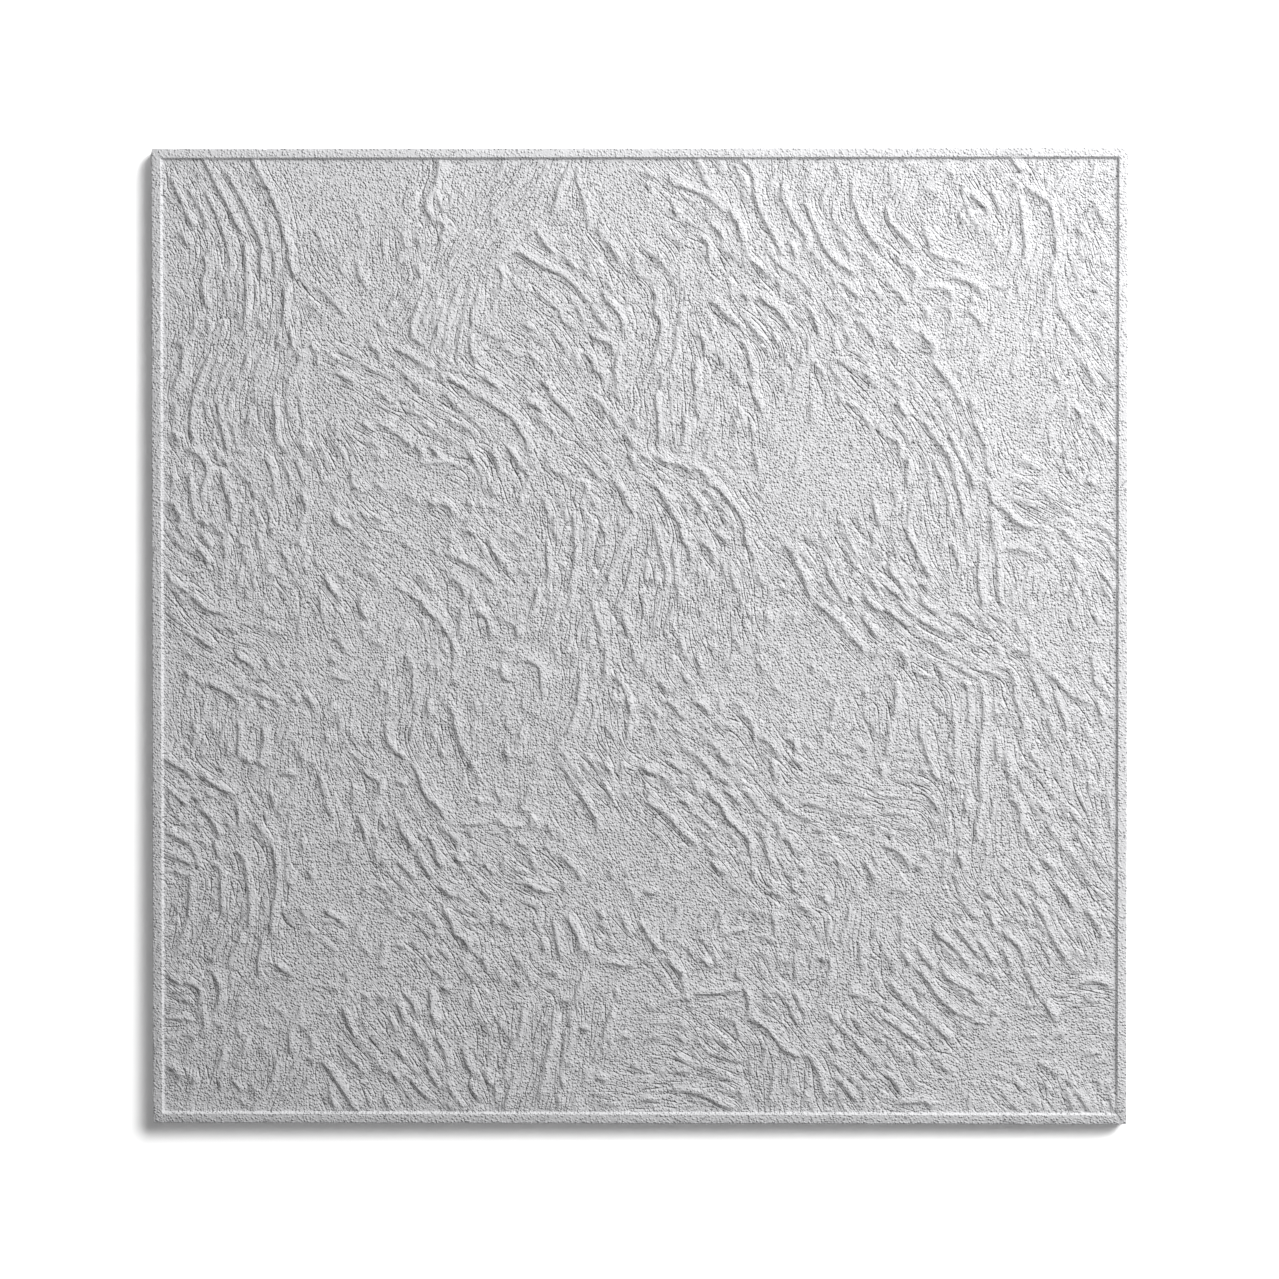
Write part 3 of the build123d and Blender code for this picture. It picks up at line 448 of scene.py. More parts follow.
FINE_RIDGES = """
-170,171 -165,166 -162,163; -162,146 -157,142 -150,139 -143,138; -144,216 -142,211; -142,204 -142,200;
-131,205 -132,197 -131,193; -205,150 -208,142 -211,134; -197,152 -197,148; -226,157 -223,153;
-209,170 -207,164 -204,160; -239,178 -236,175; -217,196 -217,188 -215,184; -207,188 -206,178;
-184,190 -182,184; -228,239 -224,233; -199,238 -197,233; -205,237 -202,230; -209,6 -200,6 -192,4;
-192,3 -184,1; -161,20 -160,15; -165,99 -161,91 -160,86; -170,98 -167,90 -165,86;
-160,102 -155,96 -151,92; -155,99 -150,92; -149,97 -145,91; -150,105 -148,101;
-176,125 -174,119 -173,111; -135,119 -128,116; -130,-120 -126,-124; -134,-104 -135,-110;
-195,-79 -194,-82; -199,-82 -197,-87; -224,-32 -224,-40; -216,-31 -218,-36; -210,-41 -209,-43;
-228,-105 -222,-108; -149,-52 -146,-55; -152,-45 -148,-52; -140,-53 -136,-59; -156,-65 -153,-69;
-240,-104 -235,-106; -213,-110 -211,-115; -184,-46 -187,-53; -190,-62 -191,-70; -174,-22 -173,-25;
-176,-14 -174,-17; -163,-78 -158,-79; -138,-100 -134,-108; -204,-135 -204,-145; -146,-184 -148,-188;
-140,-213 -135,-219; -138,-206 -133,-212; -148,-206 -142,-212; -145,-196 -140,-203; -195,-211 -193,-215;
-208,-219 -206,-222; -200,-230 -198,-234; -186,-230 -184,-236; -225,-146 -228,-152; -212,-135 -211,-142;
-225,-177 -222,-180; -193,-134 -193,-142; -196,-200 -190,-202; -185,-141 -178,-148; -228,-192 -226,-197;
-242,-191 -236,-192; -240,-183 -234,-184; -206,-239 -202,-242; -151,-180 -152,-185; -187,-192 -182,-195;
-160,-180 -155,-183; -58,243 -63,237 -65,234; -83,219 -83,215; -82,203 -84,199; -64,206 -71,198 -78,190;
-41,203 -36,201; -7,176 -7,169; -57,154 -48,153; -81,156 -75,153 -67,151; -65,189 -61,185;
-82,186 -79,185; -90,148 -91,143; -100,138 -92,136 -85,133; -46,144 -46,138; -57,146 -53,140;
-122,48 -117,45; -65,54 -58,50; -40,9 -40,5; -105,9 -104,3; -24,104 -18,98; -20,93 -16,89;
-30,101 -27,97; -105,105 -101,103; -99,112 -94,107; -119,73 -113,67; -76,66 -73,65; -57,37 -53,34;
-101,35 -97,32; -23,33 -24,28; -40,37 -38,34; -69,115 -67,111; -84,-2 -88,-10; -84,-23 -86,-26;
-80,-33 -80,-38; -63,-30 -65,-36; -33,-110 -37,-111; -20,-54 -16,-60; -44,-38 -45,-41; -15,-30 -10,-38;
-16,-120 -13,-124; -90,-120 -84,-124; -102,-2 -100,-10; -24,-15 -23,-21; -45,-5 -43,-11;
-64,-53 -62,-57; -92,-77 -89,-71; -53,-60 -54,-66; -6,-97 -10,-100; -111,-71 -106,-77;
-118,-87 -113,-92; -98,-95 -92,-102; -90,-172 -83,-179; -16,-157 -12,-162; -20,-147 -15,-154;
-74,-196 -71,-203; -80,-199 -76,-205; -70,-200 -65,-210; -58,-211 -58,-220; -75,-170 -70,-178;
-115,-148 -108,-154; -120,-140 -114,-143; -112,-164 -105,-172; -64,-176 -60,-182; -66,-163 -60,-170;
-59,-172 -56,-178; -53,-205 -53,-214; -83,-195 -78,-202; -92,-133 -86,-138; -117,-222 -110,-230;
-122,-231 -117,-240; -113,-210 -116,-206; -28,-226 -22,-224; -24,-235 -14,-237; -20,-240 -12,-241;
-35,-192 -33,-200; -47,-196 -48,-205; -91,-145 -86,-150; -86,-212 -83,-218; 13,212 13,210;
52,229 55,222; 60,226 63,219; 78,206 79,202; 22,225 28,222 33,219; 23,213 30,210 34,207;
12,208 18,203 22,200; 105,173 109,167; 62,149 66,145; 39,242 42,237; 21,241 23,238; 5,162 4,154;
70,109 65,101; 109,101 109,96; 106,66 103,61; 121,80 124,76; 71,24 79,23; 67,31 76,31; 79,10 84,10;
79,6 84,7; 46,88 52,86; 38,87 44,85; 4,120 4,105; 13,118 13,107; 18,105 18,96; 30,40 30,30; 52,36 53,28;
53,36 55,34; 10,82 16,79; 15,60 12,54; 84,52 90,47; 119,45 124,38; 108,13 112,10; 62,11 60,8;
115,42 120,36; 76,46 70,44; 38,95 40,91; 18,-120 23,-121; 100,-60 110,-62; 104,-66 112,-68;
95,-70 105,-72; 80,-72 84,-74; 52,-64 58,-71; 46,-70 53,-77; 38,-44 46,-48; 30,-44 36,-48;
34,-51 40,-56; 55,-93 57,-96; 53,-28 58,-30; 98,-80 97,-84; 12,-57 17,-60; 60,-94 66,-100;
33,-86 36,-91; 30,-98 36,-104; 45,-100 50,-106; 63,-60 65,-63; 45,-191 51,-191; 2,-165 6,-169;
10,-173 12,-178; 18,-199 6,-199; 7,-217 9,-217; 40,-233 50,-236; 68,-190 73,-195; 61,-188 68,-195;
43,-160 48,-163; 20,-158 27,-163; 85,-138 88,-145; 118,-199 124,-205; 122,-206 125,-208;
103,-200 108,-205; 118,-192 124,-198; 114,-240 108,-233; 100,-233 104,-240; 96,-155 99,-158;
85,-222 86,-229; 73,-222 74,-227; 60,-170 64,-175; 46,-156 48,-159; 62,-154 70,-157; 29,-204 31,-211;
3,-232 10,-228; 40,-140 42,-144; 45,-127 52,-131; 222,147 225,141 229,137; 234,197 231,188;
203,243 202,236; 214,243 213,236; 224,234 218,225; 220,238 213,230; 241,184 241,180; 133,240 130,234;
136,243 136,240; 140,241 142,239; 145,188 149,186; 160,149 161,145; 164,150 163,147; 237,150 237,144;
240,155 241,149; 227,161 229,158; 233,156 236,151; 216,88 216,85; 236,80 236,75; 236,120 239,118;
127,58 129,53; 160,115 158,106; 173,85 174,80; 183,80 187,84; 200,100 203,103; 209,95 212,94;
215,66 221,62; 221,46 230,44; 130,37 133,33; 205,78 190,79; 168,70 170,60; 173,71 174,58; 145,93 147,85;
143,70 145,60; 146,63 148,52; 214,71 219,69; 132,-58 142,-59; 132,-63 143,-64; 131,-68 141,-69;
130,-74 150,-76; 131,-98 141,-99; 205,-60 209,-67; 198,-64 202,-71; 206,-50 211,-59; 215,-70 219,-78;
212,-66 216,-75; 216,-85 219,-93; 205,-72 210,-80; 199,-83 206,-93; 186,-37 190,-45; 197,-30 200,-38;
222,-40 224,-46; 223,-15 226,-18; 222,-60 227,-70; 217,-50 220,-56; 227,-106 231,-114; 203,-12 209,-19;
167,-68 168,-74; 236,-60 236,-70; 234,-79 236,-82; 221,-6 222,-10; 164,-30 163,-38; 171,-32 171,-42;
152,-23 158,-26; 208,-194 200,-194; 206,-210 211,-206; 238,-204 243,-204; 220,-190 226,-189;
229,-195 233,-194; 186,-197 189,-198; 177,-206 180,-207; 200,-206 204,-205; 192,-219 197,-219;
182,-225 188,-227; 130,-191 135,-197; 125,-203 132,-210; 130,-212 137,-219; 127,-209 132,-215;
147,-203 152,-209; 141,-180 147,-186; 137,-195 143,-202; 155,-160 161,-166; 166,-147 172,-153;
205,-130 209,-137; 213,-139 217,-146; 218,-147 222,-155; 211,-148 216,-156; 224,-150 228,-158;
222,-160 226,-166; 210,-138 213,-146; 234,-130 240,-137; 228,-160 231,-169; 188,-143 192,-150;
178,-152 183,-160; 166,-164 172,-172; 203,-145 208,-153; 217,-163 223,-171; 240,-216 234,-220;
"""



def ridge_lines(text):
    """The ridges written in a block of text, each as an array of points."""
    lines = []
    for ridge in text.split(";"):
        points = [[float(value) for value in point.split(",")] for point in ridge.split()]
        if points:
            lines.append(np.array(points))
    return lines


def all_ridges():
    """Every ridge of the plaster, as (points, width, height)."""
    blocks = {"bold": BOLD_RIDGES, "medium": MEDIUM_RIDGES, "fine": FINE_RIDGES}
    return [(points, *RIDGE_SIZES[size]) for size, text in blocks.items() for points in ridge_lines(text)]


def rounded_line(points, longer):
    """The same line drawn out at both ends, with its corners cut twice so that it bends softly."""
    first, last = points[0] - points[1], points[-1] - points[-2]
    points = np.vstack([
        points[:1] + longer * first / math.hypot(*first), points[1:-1],
        points[-1:] + longer * last / math.hypot(*last)])
    for _ in range(2):
        start, end = points[:-1], points[1:]
        cut = np.stack([0.75 * start + 0.25 * end, 0.25 * start + 0.75 * end], axis=1)
        points = np.vstack([points[:1], cut.reshape(-1, 2), points[-1:]])
    return points


def soft_step(low, high, values):
    """0 below low and 1 above high, with a smooth climb between."""
    part = np.clip((values - low) / (high - low), 0.0, 1.0)
    return part * part * (3.0 - 2.0 * part)


def soft_noise(spacing, seed):
    """Smooth random values from -1 to 1 over the height map, with humps one spacing apart."""
    count = int(FIELD_SIDE / spacing) + 3
    knots = np.random.default_rng(seed).uniform(-1.0, 1.0, (count, count))
    place = np.arange(MAP_SIDE) * MAP_STEP / spacing
    low = place.astype(int)
    part = soft_step(0.0, 1.0, place - low)
    rows = knots[low] * (1 - part)[:, None] + knots[low + 1] * part[:, None]
    return rows[:, low] * (1 - part) + rows[:, low + 1] * part


# Keeps a place just inside the last cell of a grid
INSIDE_LAST_CELL = 1.001


def blended(grid, column, row):
    """Values of a square grid at places counted in cells, blended between its cells."""
    column = np.clip(column, 0, len(grid) - INSIDE_LAST_CELL)
    row = np.clip(row, 0, len(grid) - INSIDE_LAST_CELL)
    c, r = column.astype(int), row.astype(int)
    across, up = column - c, row - r
    lower = grid[r, c] * (1 - across) + grid[r, c + 1] * across
    upper = grid[r + 1, c] * (1 - across) + grid[r + 1, c + 1] * across
    return lower * (1 - up) + upper * up


def map_values(field, x, y):
    """Values of a height map at points given in millimetres."""
    return blended(field, (x + FIELD_SIDE / 2) / MAP_STEP, (y + FIELD_SIDE / 2) / MAP_STEP)


class RidgeCarver:
    """Collects ridges in one height map whose cells are shifted a little, so that no ridge runs too true."""

    SHIFT = 0.34
    SHIFT_PITCH = 3.4
    SHIFT_SEEDS = (11, 12)
    # How far the foot of the steep flank lies outside the traced line, and where the crest lies across
    FOOT_LEAD = 0.10
    CREST_SHARE = 0.16
    # How far each ridge runs on past the ends of its traced line, and how it narrows and sinks there
    DRAWN_OUT = 1.2
    TAPER_WIDTHS = 0.6
    TAPER_POWER = 0.6
    END_WIDTH_SHARE = 0.5
    # How the height of a ridge changes along it
    UNEVEN_PITCH = 4.5
    UNEVEN_RANGE = (0.75, 1.12)
    UNEVEN_SEED = 5
    WINDOW_MARGIN = 2.0

    def __init__(self):
        axis = np.linspace(-FIELD_SIDE / 2, FIELD_SIDE / 2, MAP_SIDE)
        self.x = axis[None, :] + self.SHIFT * soft_noise(self.SHIFT_PITCH, self.SHIFT_SEEDS[0])
        self.y = axis[:, None] + self.SHIFT * soft_noise(self.SHIFT_PITCH, self.SHIFT_SEEDS[1])
        self.height = np.zeros((MAP_SIDE, MAP_SIDE))
        self.random = np.random.default_rng(self.UNEVEN_SEED)

    def window(self, line, margin):
        """The part of the map round a line, as row and column slices."""
        low = np.floor((line.min(axis=0) - margin + FIELD_SIDE / 2) / MAP_STEP).astype(int)
        high = np.ceil((line.max(axis=0) + margin + FIELD_SIDE / 2) / MAP_STEP).astype(int)
        low, high = np.clip(low, 0, MAP_SIDE), np.clip(high, 0, MAP_SIDE)
        return slice(low[1], high[1]), slice(low[0], high[0])

    def nearest(self, line, x, y):
        """Each cell's distance from the line, side of it and place along it, and the line's length."""
        best = np.full(x.shape, np.inf)
        side, along = np.zeros(x.shape), np.zeros(x.shape)
        passed = 0.0
        for start, end in zip(line[:-1], line[1:]):
            step = end - start
            length = math.hypot(*step)
            dx, dy = x - start[0], y - start[1]
            share = np.clip((dx * step[0] + dy * step[1]) / length ** 2, 0.0, 1.0)
            gap = np.hypot(dx - share * step[0], dy - share * step[1])
            closer = gap < best
            best = np.where(closer, gap, best)
            side = np.where(closer, np.sign(step[0] * dy - step[1] * dx), side)
            along = np.where(closer, passed + share * length, along)
            passed += length
        return best, side, along, passed

    def carve(self, points, width, height):
        """Adds one ridge: a rounded back between two creases, steeper on the side of its line."""
        line = rounded_line(points, self.DRAWN_OUT)
        rows, columns = self.window(line, width + self.WINDOW_MARGIN)
        x, y = self.x[rows, columns], self.y[rows, columns]
        if x.size == 0:
            return
        gap, side, along, length = self.nearest(line, x, y)
        chord = line[-1] - line[0]
        gentle = 1.0 if chord[0] * GENTLE_SIDE[1] - chord[1] * GENTLE_SIDE[0] > 0 else -1.0
        knots = int(length / self.UNEVEN_PITCH) + 2
        unevenness = self.random.uniform(*self.UNEVEN_RANGE, knots)
        level = np.interp(along, np.linspace(0.0, length, knots), unevenness)
        from_end = np.minimum(along, length - along) / (self.TAPER_WIDTHS * width)
        taper = np.clip(from_end, 0.0, 1.0) ** self.TAPER_POWER
        span = width * (self.END_WIDTH_SHARE + (1.0 - self.END_WIDTH_SHARE) * taper)
        crest = self.CREST_SHARE * span
        across = gap * side * gentle + self.FOOT_LEAD
        part = (across - crest) / np.where(across < crest, crest, span - crest)
        section = np.clip(1.0 - part * part, 0.0, 1.0)
        added = height * section * level * taper
        self.height[rows, columns] = np.maximum(self.height[rows, columns], added)


def ridge_map(ridges):
    """Height of the ridges alone, in millimetres."""
    carver = RidgeCarver()
    for points, width, height in ridges:
        carver.carve(points, width, height)
    return carver.height


# Between the ridges, in millimetres: soft swells as (height, spacing, seed), and crumbs where noise peaks
SWELLS = ((0.08, 24.0, 31), (0.05, 8.0, 32))
CRUMB_HEIGHT = 0.30
CRUMB_SPACING = 3.6
CRUMB_SEED = 33
CRUMB_PEAKS = (0.6, 0.92)
DEEPEST_HOLLOW = -0.3


def plaster_relief(ridge_height):
    """Height of the plaster above the field's level, in millimetres: ridges, soft swells and crumbs."""
    swell = sum(height * soft_noise(spacing, seed) for height, spacing, seed in SWELLS)
    crumbs = CRUMB_HEIGHT * soft_step(*CRUMB_PEAKS, soft_noise(CRUMB_SPACING, CRUMB_SEED))
    return np.clip(ridge_height + swell + crumbs, DEEPEST_HOLLOW, RIDGE_CEILING)


class BrushField:
    """Which way the brush went at any place, and how strongly, smoothed from the runs of the ridges."""

    CELL = 6.0
    SMOOTHINGS = 5
    USUAL_PERCENTILE = 45

    def __init__(self, ridges):
        count = int(FIELD_SIDE / self.CELL) + 1
        total = np.zeros((count, count), complex)
        for points, _, height in ridges:
            for start, end in zip(points[:-1], points[1:]):
                run = complex(*(end - start))
                place = ((start + end) / 2 + FIELD_SIDE / 2) / self.CELL
                column, row = np.clip(place.astype(int), 0, count - 1)
                # A run and its reverse are the same stroke, so its angle is doubled before it is added
                total[row, column] += height * run * run / abs(run)
        for _ in range(self.SMOOTHINGS):
            padded = np.pad(total, 1, mode="edge")
            sides = padded[:-2, 1:-1] + padded[2:, 1:-1] + padded[1:-1, :-2] + padded[1:-1, 2:]
            total = (sides + 2 * total) / 6
        self.total = total
        self.usual = np.percentile(np.abs(total), self.USUAL_PERCENTILE)

    def at(self, x, y):
        """At places in millimetres: cosine and sine of twice the brush's angle, and its strength, 0 to 1."""
        column = (x + FIELD_SIDE / 2) / self.CELL - 0.5
        row = (y + FIELD_SIDE / 2) / self.CELL - 0.5
        blend = blended(self.total, column, row)
        size = np.abs(blend) + 1e-9
        return blend.real / size, blend.imag / size, np.clip(size / self.usual, 0.0, 1.0)


# Rows of points on the rim, round the edge of the face and down the sides
RIM_ROWS = 5
EDGE_ANGLES = (30, 60, 90)
SIDE_LEVELS = (7.4, 4.9, 2.4, 0.0)


def border_steps():
    """Outline sides and levels, from the mouth of the field over the rim and down to the back."""
    flat_side = TILE_SIDE - 2 * FACE_EDGE_RADIUS
    steps = [(side, TILE_TOP) for side in np.linspace(FIELD_MOUTH_SIDE, flat_side, RIM_ROWS)]
    for angle in EDGE_ANGLES:
        inset = FACE_EDGE_RADIUS * (1 - math.sin(math.radians(angle)))
        drop = FACE_EDGE_RADIUS * (1 - math.cos(math.radians(angle)))
        steps.append((TILE_SIDE - 2 * inset, TILE_TOP - drop))
    return steps + [(TILE_SIDE, level) for level in SIDE_LEVELS]


def blank_tile():
    """A closed tile with a finely divided flat field, its rim and sides pulled out of the field's border."""
    bpy.ops.object.select_all(action="DESELECT")
    bpy.ops.mesh.primitive_grid_add(
        x_subdivisions=SHEET_CELLS, y_subdivisions=SHEET_CELLS, size=FIELD_SIDE * MM,
        location=(0.0, 0.0, FIELD_LEVEL * MM))
    tile = bpy.context.object
    tile.name = "brushed_foam_tile"
    bpy.ops.object.transform_apply(location=True, rotation=True, scale=True)
    bpy.ops.object.mode_set(mode="EDIT")
    bpy.ops.mesh.select_mode(type="EDGE")
    bpy.ops.mesh.select_all(action="DESELECT")
    bpy.ops.mesh.select_non_manifold()
    side, level = FIELD_SIDE, FIELD_LEVEL
    for next_side, next_level in border_steps():
        bpy.ops.mesh.extrude_edges_move()
        factor = next_side / side
        if factor != 1.0:
            bpy.ops.transform.resize(value=(factor, factor, 1.0), center_override=(0.0, 0.0, level * MM))
        bpy.ops.transform.translate(value=(0.0, 0.0, (next_level - level) * MM))
        side, level = next_side, next_level
    bpy.ops.mesh.edge_face_add()
    bpy.ops.mesh.select_all(action="SELECT")
    bpy.ops.mesh.normals_make_consistent(inside=False)
    bpy.ops.object.mode_set(mode="OBJECT")
    settle_faces(tile.data)
    return tile


def settle_faces(mesh):
    """Makes the mesh again with its faces in order, because extruding lists them differently in each run."""
    places = [vertex.co[:] for vertex in mesh.vertices]
    faces = sorted(tuple(face.vertices) for face in mesh.polygons)
    mesh.clear_geometry()
    mesh.from_pydata(places, [], faces)


def vertex_places(mesh):
    """Where the points of a mesh are, in metres, one row for each."""
    places = np.zeros(len(mesh.vertices) * 3)
    mesh.vertices.foreach_get("co", places)
    return places.reshape(-1, 3)


def place_vertices(mesh, places):
    """Puts the points of a mesh at the given places, in metres."""
    mesh.vertices.foreach_set("co", places.reshape(-1))
    mesh.update()


# Added to or taken off a limit so that points right on it are counted in, in millimetres
HAIR = 0.01
# Bites out of the sides where they cut through beads, in millimetres; the row of points at the back has none
NIBBLE_DEPTH = 0.24
NIBBLE_PITCH = 1.9
NIBBLE_POWER = 3
LOWEST_NIBBLE = 0.5
NIBBLE_SEEDS = (4100, 4200)
FAR_SIDE_SEED = 50


def edge_wave(place, pitch, seed):
    """Smooth random values from 0 to 1 along an edge."""
    knots = np.random.default_rng(seed).uniform(0.0, 1.0, int(TILE_SIDE / pitch) + 3)
    return np.interp((place + TILE_SIDE / 2) / pitch, np.arange(len(knots)), knots)


def nibble_sides(values, others, z, seed):
    """Takes bites out of a pair of opposite sides, whose points lie at the given values across."""
    near = np.flatnonzero((np.abs(values) > TILE_SIDE / 2 - FACE_EDGE_RADIUS - HAIR) & (z > LOWEST_NIBBLE))
    # Each side has its own bites, and so has each row of points on it
    row_seeds = seed + np.round(z[near]).astype(int) + FAR_SIDE_SEED * (values[near] > 0)
    for row_seed in np.unique(row_seeds):
        row = near[row_seeds == row_seed]
        bites = NIBBLE_DEPTH * edge_wave(others[row], NIBBLE_PITCH, int(row_seed)) ** NIBBLE_POWER
        values[row] -= np.sign(values[row]) * bites


def round_corners(x, y):
    """Draws the points at the tile's four corners in to the corner radius."""
    corner = TILE_SIDE / 2 - CORNER_RADIUS
    over_x, over_y = np.abs(x) - corner, np.abs(y) - corner
    reach = np.hypot(over_x, over_y)
    cut = (over_x > 0) & (over_y > 0) & (reach > CORNER_RADIUS)
    x[cut] = np.sign(x[cut]) * (corner + over_x[cut] * CORNER_RADIUS / reach[cut])
    y[cut] = np.sign(y[cut]) * (corner + over_y[cut] * CORNER_RADIUS / reach[cut])


def carve_tile(tile, relief):
    """Raises the plaster on the field, rounds the corners and nibbles the sides."""
    places = vertex_places(tile.data) / MM
    x, y, z = places.T
    in_field = np.maximum(np.abs(x), np.abs(y)) < FIELD_SIDE / 2 + HAIR
    z[in_field] += map_values(relief, x[in_field], y[in_field])
    round_corners(x, y)
    nibble_sides(x, y, z, NIBBLE_SEEDS[0])
    nibble_sides(y, x, z, NIBBLE_SEEDS[1])
    place_vertices(tile.data, places * MM)


SMOOTH_ANGLE = math.radians(32)


def thin_tile(tile):
    """Thins the sheet where it is smooth, so that the ridges keep their fine triangles."""
    bpy.ops.object.select_all(action="DESELECT")
    tile.select_set(True)
    bpy.context.view_layer.objects.active = tile
    tile.data.calc_loop_triangles()
    thinning = tile.modifiers.new("thinning", "DECIMATE")
    thinning.ratio = TILE_TRIANGLES / len(tile.data.loop_triangles)
    bpy.ops.object.modifier_apply(modifier=thinning.name)
    bpy.ops.object.shade_smooth_by_angle(angle=SMOOTH_ANGLE)
    # Points that thinning pushed out by a hair come back to the tile's own size
    place_vertices(tile.data, np.clip(vertex_places(tile.data), TILE_LOW, TILE_HIGH))


# Heights of a ridge, in millimetres, over which its ground turns into its smoother back, and the share of
# the brush streaks that stays there
BACK_HEIGHTS = (0.1, 0.6)
BACK_STREAK_SHARE = 0.25


def note_brush(tile, ridges, ridge_height):
    """Keeps the brush's run, and where the rough ground is, on the tile's points for its material."""
    x, y, _ = vertex_places(tile.data).T / MM
    in_field = np.maximum(np.abs(x), np.abs(y)) < FIELD_SIDE / 2
    ground = 1.0 - soft_step(*BACK_HEIGHTS, map_values(ridge_height, x, y))
    cosine, sine, strength = BrushField(ridges).at(x, y)
    strength *= in_field * (BACK_STREAK_SHARE + (1.0 - BACK_STREAK_SHARE) * ground)
    run = tile.data.attributes.new("brush_run", "FLOAT_VECTOR", "POINT")
    run.data.foreach_set("vector", np.stack([cosine, sine, strength], axis=1).reshape(-1))
    rough = tile.data.attributes.new("rough_ground", "FLOAT", "POINT")
    rough.data.foreach_set("value", in_field * ground)


class NodeSheet:
    """A material's nodes, with short ways to add the few kinds that are used here."""

    def __init__(self, material):
        material.use_nodes = True
        self.nodes, self.links = material.node_tree.nodes, material.node_tree.links

    def feed(self, socket, value):
        """Sets a socket to a number or colour, or links it to another node's output."""
        if isinstance(value, bpy.types.NodeSocket):
            self.links.new(value, socket)
        else:
            socket.default_value = value

    def add(self, kind, inputs):
        """A new node with the named inputs fed."""
        node = self.nodes.new("ShaderNode" + kind)
        for name, value in inputs.items():
            self.feed(node.inputs[name], value)
        return node

    def math(self, operation, *values, kind="Math", output="Value"):
        """The outcome of a sum on numbers or, with the kind for vectors, on vectors."""
        node = self.nodes.new("ShaderNode" + kind)
        node.operation = operation
        for socket, value in zip(node.inputs, values):
            self.feed(socket, value)
        return node.outputs[output]

    def split(self, vector):
        """The X, Y and Z outputs of a vector."""
        return self.add("SeparateXYZ", {"Vector": vector}).outputs

    def chances(self, voronoi):
        """Three random numbers from 0 to 1 for each cell, as the outputs Red, Green and Blue."""
        return self.add("SeparateColor", {"Color": voronoi.outputs["Color"]}).outputs

    def varied(self, chance, least, added):
        """Least, plus the added amount times a number from 0 to 1."""
        return self.math("MULTIPLY_ADD", chance, added, least)

    def ramp(self, value, low, high):
        """0 below low and 1 above high, with a smooth climb between."""
        node = self.add("MapRange", {"Value": value, "From Min": low, "From Max": high})
        node.interpolation_type = "SMOOTHSTEP"
        return node.outputs["Result"]

    def mix(self, factor, first, second):
        """A blend of two colours."""
        node = self.nodes.new("ShaderNodeMix")
        node.data_type = "RGBA"
        for socket, value in zip(("Factor", "A", "B"), (factor, first, second)):
            self.feed(node.inputs[socket], value)
        return node.outputs["Result"]

    def place(self):
        """Where a point is on its own piece, in metres."""
        return self.nodes.new("ShaderNodeTexCoord").outputs["Object"]

    def attribute(self, name, output):
        """A value noted on the points of the mesh."""
        node = self.nodes.new("ShaderNodeAttribute")
        node.attribute_name = name
        return node.outputs[output]


# Brush streaks in millimetres: they lie in dabs of the brush, each with its own fineness and strength
DAB_SIZE = 24.0
DAB_FINENESS = (0.7, 0.6)
DAB_STRENGTH = (0.55, 0.6)
DAB_NOISE_SPREAD = 40.0
STREAK_LENGTH = 22.0
STREAK_PITCH = 3.3
STREAK_HEIGHT = 0.6
STREAK_CREASE = 0.07


def brush_streaks(sheet, place):
    """Flat streaks with creases between them, in dabs of the brush that each follow the noted run."""
    run = sheet.split(sheet.attribute("brush_run", "Vector"))
    angle = sheet.math("MULTIPLY", sheet.math("ARCTAN2", run["Y"], run["X"]), 0.5)
    cosine, sine = sheet.math("COSINE", angle), sheet.math("SINE", angle)

    dabs = sheet.add("TexVoronoi", {"Vector": place, "Scale": 1.0 / (DAB_SIZE * MM)})
    dabs.voronoi_dimensions = "2D"
    chance = sheet.chances(dabs)
    from_dab = sheet.split(
        sheet.math("SUBTRACT", place, dabs.outputs["Position"], kind="VectorMath", output="Vector"))
    right, up = from_dab["X"], from_dab["Y"]
    along = sheet.math("MULTIPLY_ADD", right, cosine, sheet.math("MULTIPLY", up, sine))
    across = sheet.math("SUBTRACT", sheet.math("MULTIPLY", up, cosine), sheet.math("MULTIPLY", right, sine))

    fineness = sheet.varied(chance["Red"], *(share / (STREAK_PITCH * MM) for share in DAB_FINENESS))
    stretched = sheet.add("CombineXYZ", {
        "X": sheet.math("MULTIPLY", along, 1.0 / (STREAK_LENGTH * MM)),
        "Y": sheet.math("MULTIPLY", across, fineness),
        "Z": sheet.math("MULTIPLY", chance["Green"], DAB_NOISE_SPREAD)}).outputs["Vector"]
    wave = sheet.add("TexNoise", {"Vector": stretched, "Scale": 1.0, "Detail": 0.0}).outputs["Fac"]
    from_crease = sheet.math("ABSOLUTE", sheet.math("SUBTRACT", wave, 0.5))
    strength = sheet.math("MULTIPLY", sheet.varied(chance["Blue"], *DAB_STRENGTH), run["Z"])
    return sheet.math("MULTIPLY", sheet.ramp(from_crease, 0.0, STREAK_CREASE), strength)


# Foam: fused beads and grit in millimetres, with bead and pit profiles in shares of the pitch from the
# bead's centre, and the share of beads that are missing
BEAD_PITCH = 1.28
BEAD_HEIGHT = 0.69
BEAD_SIZES = (0.4, 0.9)
BEAD_PROFILE = (0.05, 0.62)
SMOOTH_BEAD_SHARE = 0.65
GRIT_PITCH = 0.8
GRIT_HEIGHT = 0.28
PIT_SHARE = 0.03
PIT_DEPTH = 0.5
PIT_PROFILE = (0.3, 0.6)
FOAM_COLOUR = (0.82, 0.82, 0.835, 1.0)
# Painted shade: the pits of missing beads are given this darker grey for the shade that falls in them
PIT_SHADE_COLOUR = (0.40, 0.40, 0.42, 1.0)
FOAM_ROUGHNESS = 0.62
FOAM_SPECULAR = 0.25


